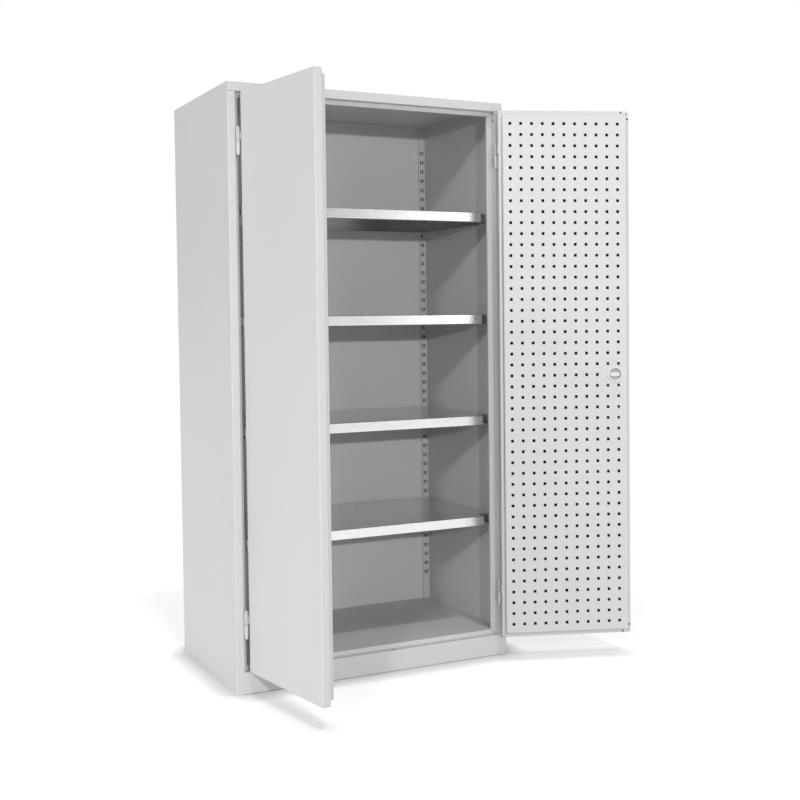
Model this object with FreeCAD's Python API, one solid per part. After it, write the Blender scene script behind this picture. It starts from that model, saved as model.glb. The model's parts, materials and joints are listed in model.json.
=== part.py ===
import FreeCAD, Part
import math
import os

V = FreeCAD.Vector

# A steel workshop cabinet, in millimetres: X to the right, Y to the back, Z up.
# The origin is the middle of its footprint, on the floor.

# Overall sizes
WIDTH = 1000.0
DEPTH = 600.0
HEIGHT = 1950.0

# Carcass
BODY_SHEET = 1.5
STILE_WIDTH = 27.0
RAIL_HEIGHT = 30.0
PLINTH_HEIGHT = 72.0
PLINTH_FOOT = 40.0
REBATE_DEPTH = 30.0
LIP_WIDTH = 16.5
LIP_HEIGHT = 14.0
LIP_RETURN = 10.0
REAR_FLANGE = 25.0

# Slotted uprights
REAR_UPRIGHT_WIDTH = 27.0
REAR_UPRIGHT_DEPTH = 8.0
FRONT_UPRIGHT_WIDTH = 20.0
FRONT_UPRIGHT_SETBACK = 70.0
FRONT_UPRIGHT_LEG = 30.0
SLOT_WIDTH = 5.0
SLOT_HEIGHT = 14.0
SLOT_INSET = 10.4
SLOT_FIRST_ROW = 191.5
SLOT_PITCH = 36.0

# Shelves, by the row of slots that their clips hook into
SHELF_ROWS = (7, 17, 27, 37)
SHELF_SHEET = 1.5
SHELF_HEIGHT = 34.0
SHELF_SETBACK = 52.0
SHELF_SIDE_GAP = 2.5
SHELF_REAR_GAP = 2.0
SHELF_NOTCH_WIDTH = 55.0
SHELF_NOTCH_DEPTH = 50.0
SHELF_HEM = 14.0
SHELF_HEM_UPTURN = 8.0

# Shelf clips
CLIP_SHEET = 2.0
CLIP_WIDTH = 16.0
CLIP_INSET = 8.7
CLIP_LEDGE = 40.0
CLIP_RISE = 14.3
CLIP_DROP = 12.0
CLIP_TAB_GAP = 0.5
CLIP_HOOK = 2.0

# Doors
DOOR_SHEET = 1.5
DOOR_END_GAP = 2.5
DOOR_MEETING_GAP = 4.0
PAN_DEPTH = 27.0
PAN_EDGE = 2.0
INNER_PAN_DEPTH = 17.0
INNER_PAN_SIDE_INSET = 11.5
INNER_PAN_END_INSET = 14.5
INNER_PAN_CORNER = 4.0
RIM_WIDTH = 18.0
RIM_SLIT_WIDTH = 1.5
OPEN_LEFT = 82.1
OPEN_RIGHT = 158.8

# Square perforations of the inner pan
HOLE_SIZE = 10.0
HOLE_PITCH = 38.0
HOLE_HINGE_MARGIN = 38.5
HOLE_FREE_MARGIN = 38.0
HOLE_END_MARGIN = 44.0

# Hinges
HINGE_FROM_SIDE = 31.0
HINGE_FORWARD = 8.0
HINGE_EDGE_GAP = 4.0
HINGE_FROM_END = 153.0
HINGE_RADIUS = 6.5
HINGE_TIP_RADIUS = 3.5
HINGE_TAPER = 12.0
HINGE_HALF = 46.0
HINGE_LEAF = 3.0
HINGE_LEAF_DEPTH = 24.0
HINGE_LEAF_MARGIN = 4.0
PIN_RADIUS = 4.0
PIN_REACH = 30.0
PIN_END_ROOM = 1.0

# Lock
LOCK_FROM_EDGE = 56.0
SPINDLE = 8.0
SPINDLE_GAP = 0.05
SPINDLE_ROOM = 3.0
LOCK_CASE_SHEET = 4.0
LOCK_CASE_WIDTH = 64.0
LOCK_CASE_HEIGHT = 100.0
JOURNAL_RADIUS = 8.0
CAM_SHEET = 3.0
CAM_CLEARANCE = 0.5
CRANK = 18.0
CRANK_PIN_RADIUS = 2.5
CRANK_PIN_LENGTH = 5.0
CRANK_END_RADIUS = 6.0
QUARTER_TURN = 90.0
STRAP_SHEET = 3.0
STRAP_INNER = 7.5
STRAP_OUTER = 24.0
STRAP_END = 7.0
STRAP_BAND = 16.0
STRAP_SLOT_ROOM = 0.4
STRAP_SLOT_RISE = 0.9
UPPER_STRAP = 56.0
LOWER_STRAP = 245.0
ROD_RADIUS = 5.0
ROD_OFFSET = 4.0
ROD_TIP = 3.0
ROD_SETBACK = 0.5
ROD_HOLE_GAP = 0.4
KEEP_GAP = 1.5
ROSETTE_RADIUS = 28.0
ROSETTE_RISE = 3.0
ROSETTE_EDGE = 1.5
CUP_RADIUS = 21.0
CUP_DEPTH = 11.0
CUP_WALL = 1.5
CUP_GAP = 0.3
TURN_HUB_RADIUS = 8.0
TURN_BAR_WIDTH = 15.0
TURN_BAR_DEPTH = 8.0
TURN_BAR_GAP = 1.5
ESCUTCHEON_RADIUS = 29.0
ESCUTCHEON_RISE = 5.0
ESCUTCHEON_EDGE = 2.0
HANDLE_GAP = 0.5
HANDLE_HUB_RADIUS = 15.0
HANDLE_HUB_LENGTH = 14.0
GRIP_LENGTH = 96.0
GRIP_WIDTH = 24.0
GRIP_DEPTH = 16.0
GRIP_CORNER = 7.0
SPINDLE_SOCKET = 10.0
PLUG_RADIUS = 7.0
PLUG_LENGTH = 16.0
KEYWAY_WIDTH = 2.0
KEYWAY_HEIGHT = 8.0
KEYWAY_DEPTH = 6.0

# Turned pieces: the flats round them, and the room of those that turn in one another
ROD_FLATS = 8
HINGE_FLATS = 8
SMALL_FLATS = 12
LARGE_FLATS = 20
RUNNING_GAP = 0.05

# How far a cutter runs past the metal
OVERCUT = 1.0

# Places that follow from the sizes above
SIDE = WIDTH / 2
FRONT = -DEPTH / 2
BACK = DEPTH / 2
BACK_PANEL = BACK - 2 * BODY_SHEET
WALL = SIDE - BODY_SHEET
CEILING = HEIGHT - BODY_SHEET
JAMB = SIDE - STILE_WIDTH
LIP_EDGE = JAMB - LIP_WIDTH
REBATE = FRONT + REBATE_DEPTH
REBATE_BACK = REBATE + LIP_RETURN
RAIL = HEIGHT - RAIL_HEIGHT
DECK = PLINTH_HEIGHT + LIP_HEIGHT
MITRE_RUN = 3 * LIP_WIDTH
MITRE_RISE = 3 * LIP_HEIGHT
REAR_UPRIGHT = BACK_PANEL - REAR_UPRIGHT_DEPTH
FRONT_UPRIGHT = FRONT + FRONT_UPRIGHT_SETBACK
SLOT_X = WALL - SLOT_INSET
CLIP_X = WALL - CLIP_INSET

HINGE_X = SIDE - HINGE_FROM_SIDE
HINGE_Y = FRONT - HINGE_FORWARD
DOOR_HINGE_EDGE = HINGE_X - HINGE_EDGE_GAP
DOOR_FREE_EDGE = DOOR_MEETING_GAP / 2
DOOR_BOTTOM = PLINTH_HEIGHT + DOOR_END_GAP
DOOR_TOP = RAIL - DOOR_END_GAP
DOOR_MIDDLE = (DOOR_BOTTOM + DOOR_TOP) / 2
RIM = FRONT + PAN_DEPTH
INNER_FACE = RIM + INNER_PAN_DEPTH
HINGE_HEIGHTS = (DOOR_BOTTOM + HINGE_FROM_END, DOOR_TOP - HINGE_FROM_END)

LOCK_X = DOOR_FREE_EDGE + LOCK_FROM_EDGE
LOCK_Z = DOOR_MIDDLE
SKIN = FRONT + DOOR_SHEET
CASE_FACE = SKIN + LOCK_CASE_SHEET
CAM = CASE_FACE + CAM_CLEARANCE
CAM_FACE = CAM + CAM_SHEET
STRAP = CAM_FACE + CAM_CLEARANCE
ROD_X = LOCK_X + ROD_OFFSET
ROD_Y = STRAP + STRAP_SHEET / 2
CRANK_REACH = CRANK * math.cos(math.radians(QUARTER_TURN / 2))
ROD_TRAVEL = 2 * CRANK * math.sin(math.radians(QUARTER_TURN / 2))
CUP_FLOOR = INNER_FACE - CUP_DEPTH
CUP_BACK = CUP_FLOOR - CUP_WALL
HANDLE_BACK = FRONT - ESCUTCHEON_RISE - HANDLE_GAP
GRIP_BACK = HANDLE_BACK - HANDLE_HUB_LENGTH
GRIP_FACE = GRIP_BACK - GRIP_DEPTH
PLUG_BACK = GRIP_FACE + PLUG_LENGTH
TURN_BACK = CUP_FLOOR + HANDLE_GAP
TURN_FACE = TURN_BACK + TURN_BAR_DEPTH
SPINDLE_ENDS = (HANDLE_BACK - SPINDLE_SOCKET, TURN_FACE - CUP_WALL)


# Solids from outlines

def box(x0, x1, y0, y1, z0, z1):
    return Part.makeBox(x1 - x0, y1 - y0, z1 - z0, V(x0, y0, z0))


def joined(shapes):
    """Several shapes as one solid with no seams left on its faces."""
    return shapes[0].multiFuse(shapes[1:]).removeSplitter()


def placed(u, v, axis, level):
    """A point of an outline, on the plane square to an axis."""
    return {"x": V(level, u, v), "y": V(u, level, v), "z": V(u, v, level)}[axis]


def outline(points, axis, level):
    """A closed wire through points of a plane square to an axis."""
    corners = [placed(u, v, axis, level) for u, v in points]
    return Part.makePolygon(corners + corners[:1])


def prism(points, axis, low, high):
    """An outline pushed from one level to another along an axis."""
    return Part.Face(outline(points, axis, low)).extrude(placed(0, 0, axis, high - low))


def folded(points, sheet, side, axis, low, high):
    """A sheet folded along points on its outer face; the metal lies to the left for side 1, else -1."""
    steps = [V(b[0] - a[0], b[1] - a[1], 0).normalize() for a, b in zip(points, points[1:])]
    normals = [V(-step.y, step.x, 0) * side for step in steps]
    shifts = [normals[0]]
    for before, after in zip(normals, normals[1:]):
        shifts.append((before + after) / (1 + before.dot(after)))
    shifts.append(normals[-1])
    inner = [(u + sheet * shift.x, v + sheet * shift.y) for (u, v), shift in zip(points, shifts)]
    return prism(points + inner[::-1], axis, low, high)


def rectangle(u0, u1, v0, v1, corner=0.0):
    """The outline of a rectangle, its corners cut off where asked."""
    if corner == 0:
        return [(u0, v0), (u1, v0), (u1, v1), (u0, v1)]
    return [
        (u0 + corner, v0), (u1 - corner, v0), (u1, v0 + corner), (u1, v1 - corner),
        (u1 - corner, v1), (u0 + corner, v1), (u0, v1 - corner), (u0, v0 + corner)]


def flats(u, v, radius, count):
    """The outline of a round with flats, its corners on the radius."""
    turns = [2 * math.pi * (i + 0.5) / count for i in range(count)]
    return [(u + radius * math.cos(turn), v + radius * math.sin(turn)) for turn in turns]


def clear_of(radius, count):
    """The radius for a hole's corners that keeps its flats clear of a round by the running gap."""
    return (radius + RUNNING_GAP) / math.cos(math.pi / count)


def turned(u, v, axis, profile, count):
    """A turned solid with flats: a closed profile of radius and level carried round an axis."""
    faces = []
    for (radius_a, level_a), (radius_b, level_b) in zip(profile, profile[1:] + profile[:1]):
        if radius_a == radius_b == 0:
            continue
        ring_a = [placed(*spot, axis, level_a) for spot in flats(u, v, radius_a, count)]
        ring_b = [placed(*spot, axis, level_b) for spot in flats(u, v, radius_b, count)]
        for i in range(count):
            corners = [ring_a[i - 1]] if radius_a == 0 else [ring_a[i - 1], ring_a[i]]
            corners += [ring_b[i]] if radius_b == 0 else [ring_b[i], ring_b[i - 1]]
            faces.append(Part.Face(Part.makePolygon(corners + corners[:1])))
    shell = Part.Compound(faces)
    shell.sewShape()
    solid = Part.Solid(shell.Shells[0])
    if solid.Volume < 0:
        solid.reverse()
    return solid.removeSplitter()


def mirrored(shape):
    return shape.mirror(V(0, 0, 0), V(1, 0, 0))


def both_sides(shape):
    return [shape, mirrored(shape)]


# Carcass

def side_panel():
    """The right side with its rear flange, stile and jamb, notched for the top rail."""
    path = [(SIDE - REAR_FLANGE, BACK), (SIDE, BACK), (SIDE, FRONT), (JAMB, FRONT), (JAMB, REBATE)]
    panel = folded(path, BODY_SHEET, -1, "z", 0, CEILING)
    stile_notch = box(JAMB - OVERCUT, WALL, FRONT - OVERCUT, REBATE + OVERCUT, RAIL, HEIGHT)
    edge_notch = box(JAMB - OVERCUT, SIDE + OVERCUT, FRONT - OVERCUT, FRONT + BODY_SHEET, RAIL, HEIGHT)
    return panel.cut([stile_notch, edge_notch])


def side_rebate_angle():
    """The right jamb's rebate lip and its return, mitred at the sill and the rail."""
    path = [(JAMB, REBATE), (LIP_EDGE, REBATE), (LIP_EDGE, REBATE_BACK)]
    angle = folded(path, BODY_SHEET, -1, "z", PLINTH_HEIGHT, RAIL)
    far = JAMB - MITRE_RUN
    low = [(JAMB, PLINTH_HEIGHT), (far, PLINTH_HEIGHT), (far, PLINTH_HEIGHT + MITRE_RISE)]
    high = [(JAMB, RAIL), (far, RAIL), (far, RAIL - MITRE_RISE)]
    return angle.cut([prism(end, "y", REBATE - OVERCUT, REBATE_BACK + OVERCUT) for end in (low, high)])


def top_rebate_angle():
    """The rail's rebate lip and its return, mitred to the jambs."""
    drop = RAIL - LIP_HEIGHT
    path = [(REBATE, RAIL), (REBATE, drop), (REBATE_BACK, drop)]
    angle = folded(path, BODY_SHEET, 1, "x", -JAMB, JAMB)
    past = JAMB + OVERCUT
    low = RAIL - MITRE_RISE
    mitre = prism(
        [(JAMB, RAIL), (past, RAIL), (past, low), (JAMB - MITRE_RUN, low)],
        "y", REBATE - OVERCUT, REBATE_BACK + OVERCUT)
    return angle.cut(both_sides(mitre))


def keep_slot(z0, z1):
    """The slot in the frame that a lock rod's end enters."""
    half = ROD_RADIUS + KEEP_GAP
    return box(ROD_X - half, ROD_X + half, ROD_Y - half, ROD_Y + half, z0, z1)


def top_panel():
    """The top with its rear flange, front rail and the rail's underside."""
    path = [(BACK, HEIGHT - REAR_FLANGE), (BACK, HEIGHT), (FRONT, HEIGHT), (FRONT, RAIL), (REBATE, RAIL)]
    panel = folded(path, BODY_SHEET, 1, "x", -SIDE, SIDE)
    past_side = SIDE + OVERCUT
    past_back = BACK + OVERCUT
    end = box(WALL, past_side, FRONT + BODY_SHEET, past_back, 0, CEILING)
    rear_corner = box(SIDE - REAR_FLANGE, past_side, BACK_PANEL, past_back, 0, CEILING)
    under_end = box(JAMB, past_side, FRONT + BODY_SHEET, REBATE + OVERCUT, 0, RAIL + BODY_SHEET)
    cuts = both_sides(end) + both_sides(rear_corner) + both_sides(under_end)
    cuts.append(keep_slot(RAIL - OVERCUT, RAIL + BODY_SHEET + OVERCUT))
    return panel.cut(cuts)


def floor_panel():
    """The inner floor, with a rear flange and a front flange mitred into the rebate."""
    path = [(BACK_PANEL, DECK - REAR_FLANGE), (BACK_PANEL, DECK), (REBATE, DECK), (REBATE, PLINTH_HEIGHT)]
    panel = folded(path, BODY_SHEET, 1, "x", -WALL, WALL)
    high = PLINTH_HEIGHT + MITRE_RISE
    mitre = prism(
        [(JAMB, PLINTH_HEIGHT), (SIDE, PLINTH_HEIGHT), (SIDE, high), (JAMB - MITRE_RUN, high)],
        "y", REBATE - OVERCUT, REBATE_BACK)
    return panel.cut(both_sides(mitre))


def plinth_front():
    """The plinth with its foot flange and the sill on top."""
    sill_back = REBATE + BODY_SHEET
    path = [(FRONT + PLINTH_FOOT, 0), (FRONT, 0), (FRONT, PLINTH_HEIGHT), (sill_back, PLINTH_HEIGHT)]
    plinth = folded(path, BODY_SHEET, -1, "x", -JAMB, JAMB)
    return plinth.cut(keep_slot(PLINTH_HEIGHT - BODY_SHEET - OVERCUT, PLINTH_HEIGHT + OVERCUT))


def back_panel():
    return box(-WALL, WALL, BACK_PANEL, BACK_PANEL + BODY_SHEET, 0, CEILING)


# Uprights, shelves and clips

def row_height(row):
    return SLOT_FIRST_ROW + row * SLOT_PITCH


def slots(y):
    """The slots that the clips use, through an upright's face."""
    half = SLOT_WIDTH / 2
    reach = BODY_SHEET + OVERCUT
    cutters = []
    for row in SHELF_ROWS:
        z = row_height(row)
        cutters.append(box(
            SLOT_X - half, SLOT_X + half, y - reach, y + reach, z - SLOT_HEIGHT / 2, z + SLOT_HEIGHT / 2))
    return cutters


def rear_upright():
    """A channel against the back panel, with its slotted face to the front."""
    left = WALL - REAR_UPRIGHT_WIDTH
    path = [(WALL, BACK_PANEL), (WALL, REAR_UPRIGHT), (left, REAR_UPRIGHT), (left, BACK_PANEL)]
    return folded(path, BODY_SHEET, -1, "z", DECK, CEILING).cut(slots(REAR_UPRIGHT))


def front_upright():
    """An angle on the side wall behind the jamb, with its slotted face to the back."""
    path = [
        (WALL, FRONT_UPRIGHT - FRONT_UPRIGHT_LEG), (WALL, FRONT_UPRIGHT),
        (WALL - FRONT_UPRIGHT_WIDTH, FRONT_UPRIGHT)]
    return folded(path, BODY_SHEET, 1, "z", DECK, CEILING).cut(slots(FRONT_UPRIGHT))


def shelf(row):
    """A folded tray: hemmed front edge, front corners notched for the uprights, flanges all round."""
    low = row_height(row) + CLIP_RISE
    top = low + SHELF_HEIGHT
    side = WALL - SHELF_SIDE_GAP
    front = FRONT + SHELF_SETBACK
    rear = REAR_UPRIGHT - SHELF_REAR_GAP
    notch_x = side - SHELF_NOTCH_WIDTH
    notch_y = front + SHELF_NOTCH_DEPTH
    hem = front + SHELF_HEM
    front_part = folded(
        [(notch_y, top), (front, top), (front, low), (hem, low), (hem, low + SHELF_HEM_UPTURN)],
        SHELF_SHEET, 1, "x", -notch_x, notch_x)
    main_part = folded(
        [(-side, low), (-side, top), (side, top), (side, low)], SHELF_SHEET, -1, "y", notch_y, rear)
    rear_edge = box(-side, side, rear - SHELF_SHEET, rear, low, top)
    notch_edge = box(notch_x, side, notch_y, notch_y + SHELF_SHEET, low, top)
    return joined([front_part, main_part, rear_edge] + both_sides(notch_edge))


def rear_clip(row, face):
    """A clip on an upright's face: a leg with a hooked tab, and a ledge under the shelf's corner."""
    z = row_height(row)
    ledge = z + CLIP_RISE
    path = [(face - CLIP_LEDGE, ledge), (face, ledge), (face, z - CLIP_DROP)]
    leg = folded(path, CLIP_SHEET, -1, "x", CLIP_X - CLIP_WIDTH / 2, CLIP_X + CLIP_WIDTH / 2)
    behind = face + BODY_SHEET
    half = SLOT_WIDTH / 2 - CLIP_TAB_GAP
    tab_top = z + SLOT_HEIGHT / 2 - CLIP_TAB_GAP
    section = [
        (face - CLIP_SHEET, tab_top), (behind + CLIP_HOOK, tab_top), (behind + CLIP_HOOK, z - CLIP_DROP),
        (behind, z - CLIP_DROP), (behind, z), (face - CLIP_SHEET, z)]
    hook = prism(section, "x", SLOT_X - half, SLOT_X + half)
    return joined([leg, hook])


def front_clip(row):
    """The same clip turned to face the back, on the front upright."""
    return rear_clip(row, -FRONT_UPRIGHT).mirror(V(0, 0, 0), V(0, 1, 0))


def shelf_clips(row):
    return both_sides(rear_clip(row, REAR_UPRIGHT)) + both_sides(front_clip(row))


# Hinges, with the doors shut

def hinge_half(joint, direction, leaf_x):
    """Half of a lift-off hinge above or below its joint: a tapered barrel with the pin's bore, and a leaf."""
    shoulder = joint + direction * (HINGE_HALF - HINGE_TAPER)
    tip = joint + direction * HINGE_HALF
    bore = clear_of(PIN_RADIUS, HINGE_FLATS)
    bore_end = joint + direction * (PIN_REACH + (PIN_END_ROOM if direction > 0 else 0))
    barrel = turned(HINGE_X, HINGE_Y, "z", [
        (bore, joint), (HINGE_RADIUS, joint), (HINGE_RADIUS, shoulder), (HINGE_TIP_RADIUS, tip), (0, tip),
        (0, bore_end), (bore, bore_end)], HINGE_FLATS)
    leaf_ends = sorted((joint + direction * HINGE_LEAF_MARGIN, shoulder - direction * HINGE_LEAF_MARGIN))
    leaf_root = HINGE_Y + (bore + HINGE_RADIUS) / 2
    leaf = box(leaf_x, leaf_x + HINGE_LEAF, leaf_root, FRONT + HINGE_LEAF_DEPTH, *leaf_ends)
    return joined([barrel, leaf])


def frame_hinge_halves():
    return [hinge_half(z, -1, JAMB - HINGE_LEAF) for z in HINGE_HEIGHTS]


def door_hinge_halves():
    return [hinge_half(z, 1, DOOR_HINGE_EDGE) for z in HINGE_HEIGHTS]


def hinge_pins():
    length = 2 * PIN_REACH
    return [Part.makeCylinder(PIN_RADIUS, length, V(HINGE_X, HINGE_Y, z - PIN_REACH)) for z in HINGE_HEIGHTS]


# Doors, shut

def rim_slits():
    """The open mitres at the corners of the rim."""
    half = RIM_SLIT_WIDTH / 2
    length = (RIM_WIDTH - 2 * DOOR_SHEET) * math.sqrt(2)
    slits = []
    for x, to_x in ((DOOR_FREE_EDGE, 1), (DOOR_HINGE_EDGE, -1)):
        for z, to_z in ((DOOR_BOTTOM, 1), (DOOR_TOP, -1)):
            corner = V(x + to_x * RIM_WIDTH, 0, z + to_z * RIM_WIDTH)
            slit = box(-half, length, RIM - DOOR_SHEET - OVERCUT, RIM + OVERCUT, -half, half)
            slit.rotate(V(0, 0, 0), V(0, 1, 0), math.degrees(math.atan2(to_z, -to_x)))
            slit.translate(corner)
            slits.append(slit)
    return slits


def round_bore(radius, y0, y1):
    """A cutter for a round hole on the lock's axis."""
    return Part.makeCylinder(radius, y1 - y0, V(LOCK_X, y0, LOCK_Z), V(0, 1, 0))


def outer_pan():
    """The door's outer skin, its four walls and the rim turned in behind them."""
    sheet = DOOR_SHEET
    pan = box(DOOR_FREE_EDGE, DOOR_HINGE_EDGE, FRONT, RIM, DOOR_BOTTOM, DOOR_TOP)
    front_edges = [edge for edge in pan.Edges if edge.BoundBox.YMax < (FRONT + RIM) / 2]
    pan = pan.makeChamfer(PAN_EDGE, front_edges)
    hollow = box(
        DOOR_FREE_EDGE + sheet, DOOR_HINGE_EDGE - sheet, SKIN, RIM - sheet,
        DOOR_BOTTOM + sheet, DOOR_TOP - sheet)
    mouth = box(
        DOOR_FREE_EDGE + RIM_WIDTH, DOOR_HINGE_EDGE - RIM_WIDTH, RIM - sheet - OVERCUT, RIM + OVERCUT,
        DOOR_BOTTOM + RIM_WIDTH, DOOR_TOP - RIM_WIDTH)
    return pan.cut([hollow, mouth] + rim_slits())


def locking_outer_pan():
    """The outer pan of the door that locks, with holes for the spindle and the rods."""
    room = SPINDLE / 2 + SPINDLE_ROOM
    spindle_hole = round_bore(room, FRONT - OVERCUT, SKIN + OVERCUT)
    half = ROD_RADIUS + ROD_HOLE_GAP
    section = rectangle(ROD_X - half, ROD_X + half, ROD_Y - half, ROD_Y + half)
    reach = DOOR_SHEET + OVERCUT
    low_hole = prism(section, "z", DOOR_BOTTOM - OVERCUT, DOOR_BOTTOM + reach)
    high_hole = prism(section, "z", DOOR_TOP - reach, DOOR_TOP + OVERCUT)
    return outer_pan().cut([spindle_hole, low_hole, high_hole])


def hole_centres():
    """The grid of square holes, from the hinge edge across and about the middle upright."""
    across = DOOR_HINGE_EDGE - DOOR_FREE_EDGE - HOLE_HINGE_MARGIN - HOLE_FREE_MARGIN
    columns = int(across / HOLE_PITCH) + 1
    rows = int((DOOR_TOP - DOOR_BOTTOM - 2 * HOLE_END_MARGIN) / HOLE_PITCH) + 1
    first_row = DOOR_MIDDLE - (rows - 1) * HOLE_PITCH / 2
    for column in range(columns):
        for row in range(rows):
            x = DOOR_HINGE_EDGE - HOLE_HINGE_MARGIN - column * HOLE_PITCH
            yield x, first_row + row * HOLE_PITCH


def inner_pan():
    """The raised inner pan of a door: its face, and a wall that stands on the rim."""
    x0 = DOOR_FREE_EDGE + INNER_PAN_SIDE_INSET
    x1 = DOOR_HINGE_EDGE - INNER_PAN_SIDE_INSET
    z0 = DOOR_BOTTOM + INNER_PAN_END_INSET
    z1 = DOOR_TOP - INNER_PAN_END_INSET
    sheet = DOOR_SHEET
    pan = prism(rectangle(x0, x1, z0, z1, INNER_PAN_CORNER), "y", RIM, INNER_FACE)
    hollow = rectangle(x0 + sheet, x1 - sheet, z0 + sheet, z1 - sheet, INNER_PAN_CORNER)
    return pan.cut(prism(hollow, "y", RIM - OVERCUT, INNER_FACE - sheet))


def perforated_inner_pan():
    """The inner pan with its square holes, and a round one for the lock's cup."""
    half = HOLE_SIZE / 2
    holes = [flats(LOCK_X, LOCK_Z, clear_of(CUP_RADIUS + CUP_GAP, LARGE_FLATS), LARGE_FLATS)]
    for x, z in hole_centres():
        if math.hypot(x - LOCK_X, z - LOCK_Z) > ROSETTE_RADIUS + HOLE_SIZE:
            holes.append(rectangle(x - half, x + half, z - half, z + half))
    return inner_pan().cut([prism(hole, "y", RIM, INNER_FACE + OVERCUT) for hole in holes])


# Lock, with the door shut and the rods drawn in

def spindle_section(gap):
    half = SPINDLE / 2 + gap
    return rectangle(LOCK_X - half, LOCK_X + half, LOCK_Z - half, LOCK_Z + half)


def spindle_socket(y0, y1):
    """The square hole that a piece takes the spindle in."""
    return prism(spindle_section(SPINDLE_GAP), "y", y0, y1)


def lock_spindle():
    return prism(spindle_section(0), "y", *SPINDLE_ENDS)


def lock_case():
    """The plate inside the skin, bored for the cam's journal."""
    plate = box(
        LOCK_X - LOCK_CASE_WIDTH / 2, LOCK_X + LOCK_CASE_WIDTH / 2, SKIN, CASE_FACE,
        LOCK_Z - LOCK_CASE_HEIGHT / 2, LOCK_Z + LOCK_CASE_HEIGHT / 2)
    bore = flats(LOCK_X, LOCK_Z, clear_of(JOURNAL_RADIUS, SMALL_FLATS), SMALL_FLATS)
    return plate.cut(prism(bore, "y", SKIN - OVERCUT, CASE_FACE + OVERCUT))


def lock_cam():
    """A double crank on a journal, with a pin for each rod."""
    section = flats(LOCK_X, LOCK_Z, JOURNAL_RADIUS, SMALL_FLATS)
    pieces = [prism(section, "y", SKIN, CAM_FACE)]
    end = CRANK + CRANK_END_RADIUS
    arm = prism(
        rectangle(-end, end, -CRANK_END_RADIUS, CRANK_END_RADIUS, CRANK_END_RADIUS / 2), "y", CAM, CAM_FACE)
    arm.rotate(V(0, 0, 0), V(0, 1, 0), QUARTER_TURN / 2)
    arm.translate(V(LOCK_X, 0, LOCK_Z))
    pieces.append(arm)
    for side in (1, -1):
        x = LOCK_X + side * CRANK_REACH
        z = LOCK_Z - side * ROD_TRAVEL / 2
        section = flats(x, z, CRANK_PIN_RADIUS, ROD_FLATS)
        pieces.append(prism(section, "y", CAM, CAM_FACE + CRANK_PIN_LENGTH))
    return joined(pieces).cut(spindle_socket(SKIN - OVERCUT, CAM_FACE + OVERCUT))


def lock_rod(side, strap_length, end):
    """A round rod with a flat strap; side 1 is the upper rod, -1 the lower one."""
    slot_z = -side * ROD_TRAVEL / 2
    foot = slot_z - side * STRAP_END
    head = side * strap_length
    band = head - side * STRAP_BAND
    inner = side * STRAP_INNER
    outer = side * STRAP_OUTER
    rod_edge = ROD_OFFSET - side * ROD_RADIUS
    corners = [(inner, foot), (outer, foot), (outer, head), (rod_edge, head), (rod_edge, band), (inner, band)]
    strap = prism([(LOCK_X + dx, LOCK_Z + dz) for dx, dz in corners], "y", STRAP, STRAP + STRAP_SHEET)
    slot_rise = CRANK_PIN_RADIUS + STRAP_SLOT_RISE
    slot_reach = CRANK_PIN_RADIUS + STRAP_SLOT_ROOM
    slot_ends = sorted((side * (CRANK_REACH - slot_reach), side * (CRANK + slot_reach)))
    slot = box(
        LOCK_X + slot_ends[0], LOCK_X + slot_ends[1], STRAP - OVERCUT, STRAP + STRAP_SHEET + OVERCUT,
        LOCK_Z + slot_z - slot_rise, LOCK_Z + slot_z + slot_rise)
    bar = turned(ROD_X, ROD_Y, "z", [
        (0, LOCK_Z + band), (ROD_RADIUS, LOCK_Z + band), (ROD_RADIUS, end - side * ROD_TIP),
        (ROD_RADIUS - ROD_TIP / 2, end), (0, end)], ROD_FLATS)
    return joined([strap.cut(slot), bar])


def inner_rosette():
    """A dished ring on the inner pan, with a cup that the turn bar lies in."""
    rise = INNER_FACE + ROSETTE_RISE
    bore = clear_of(TURN_HUB_RADIUS, LARGE_FLATS)
    return turned(LOCK_X, LOCK_Z, "y", [
        (bore, CUP_BACK), (CUP_RADIUS, CUP_BACK), (CUP_RADIUS, INNER_FACE), (ROSETTE_RADIUS, INNER_FACE),
        (ROSETTE_RADIUS - ROSETTE_EDGE, rise), (CUP_RADIUS, rise), (CUP_RADIUS - CUP_WALL, CUP_FLOOR),
        (bore, CUP_FLOOR)], LARGE_FLATS)


def inner_turn_bar():
    """The bar across the cup, on a hub that runs through the cup's floor to the spindle."""
    half = CUP_RADIUS - CUP_WALL - TURN_BAR_GAP
    half_width = TURN_BAR_WIDTH / 2
    section = rectangle(
        LOCK_X - half, LOCK_X + half, LOCK_Z - half_width, LOCK_Z + half_width, half_width / 2)
    bar = prism(section, "y", TURN_BACK, TURN_FACE)
    hub = prism(flats(LOCK_X, LOCK_Z, TURN_HUB_RADIUS, LARGE_FLATS), "y", CUP_BACK, TURN_FACE)
    return joined([bar, hub]).cut(spindle_socket(CUP_BACK - OVERCUT, SPINDLE_ENDS[1]))


def outer_escutcheon():
    """A round plate on the outer skin, chamfered at its rim."""
    rise = FRONT - ESCUTCHEON_RISE
    plate = turned(LOCK_X, LOCK_Z, "y", [
        (0, FRONT), (ESCUTCHEON_RADIUS, FRONT), (ESCUTCHEON_RADIUS, rise + ESCUTCHEON_EDGE),
        (ESCUTCHEON_RADIUS - ESCUTCHEON_EDGE, rise), (0, rise)], LARGE_FLATS)
    hole = flats(LOCK_X, LOCK_Z, SPINDLE / 2 + SPINDLE_ROOM, SMALL_FLATS)
    return plate.cut(prism(hole, "y", rise - OVERCUT, FRONT + OVERCUT))


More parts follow.
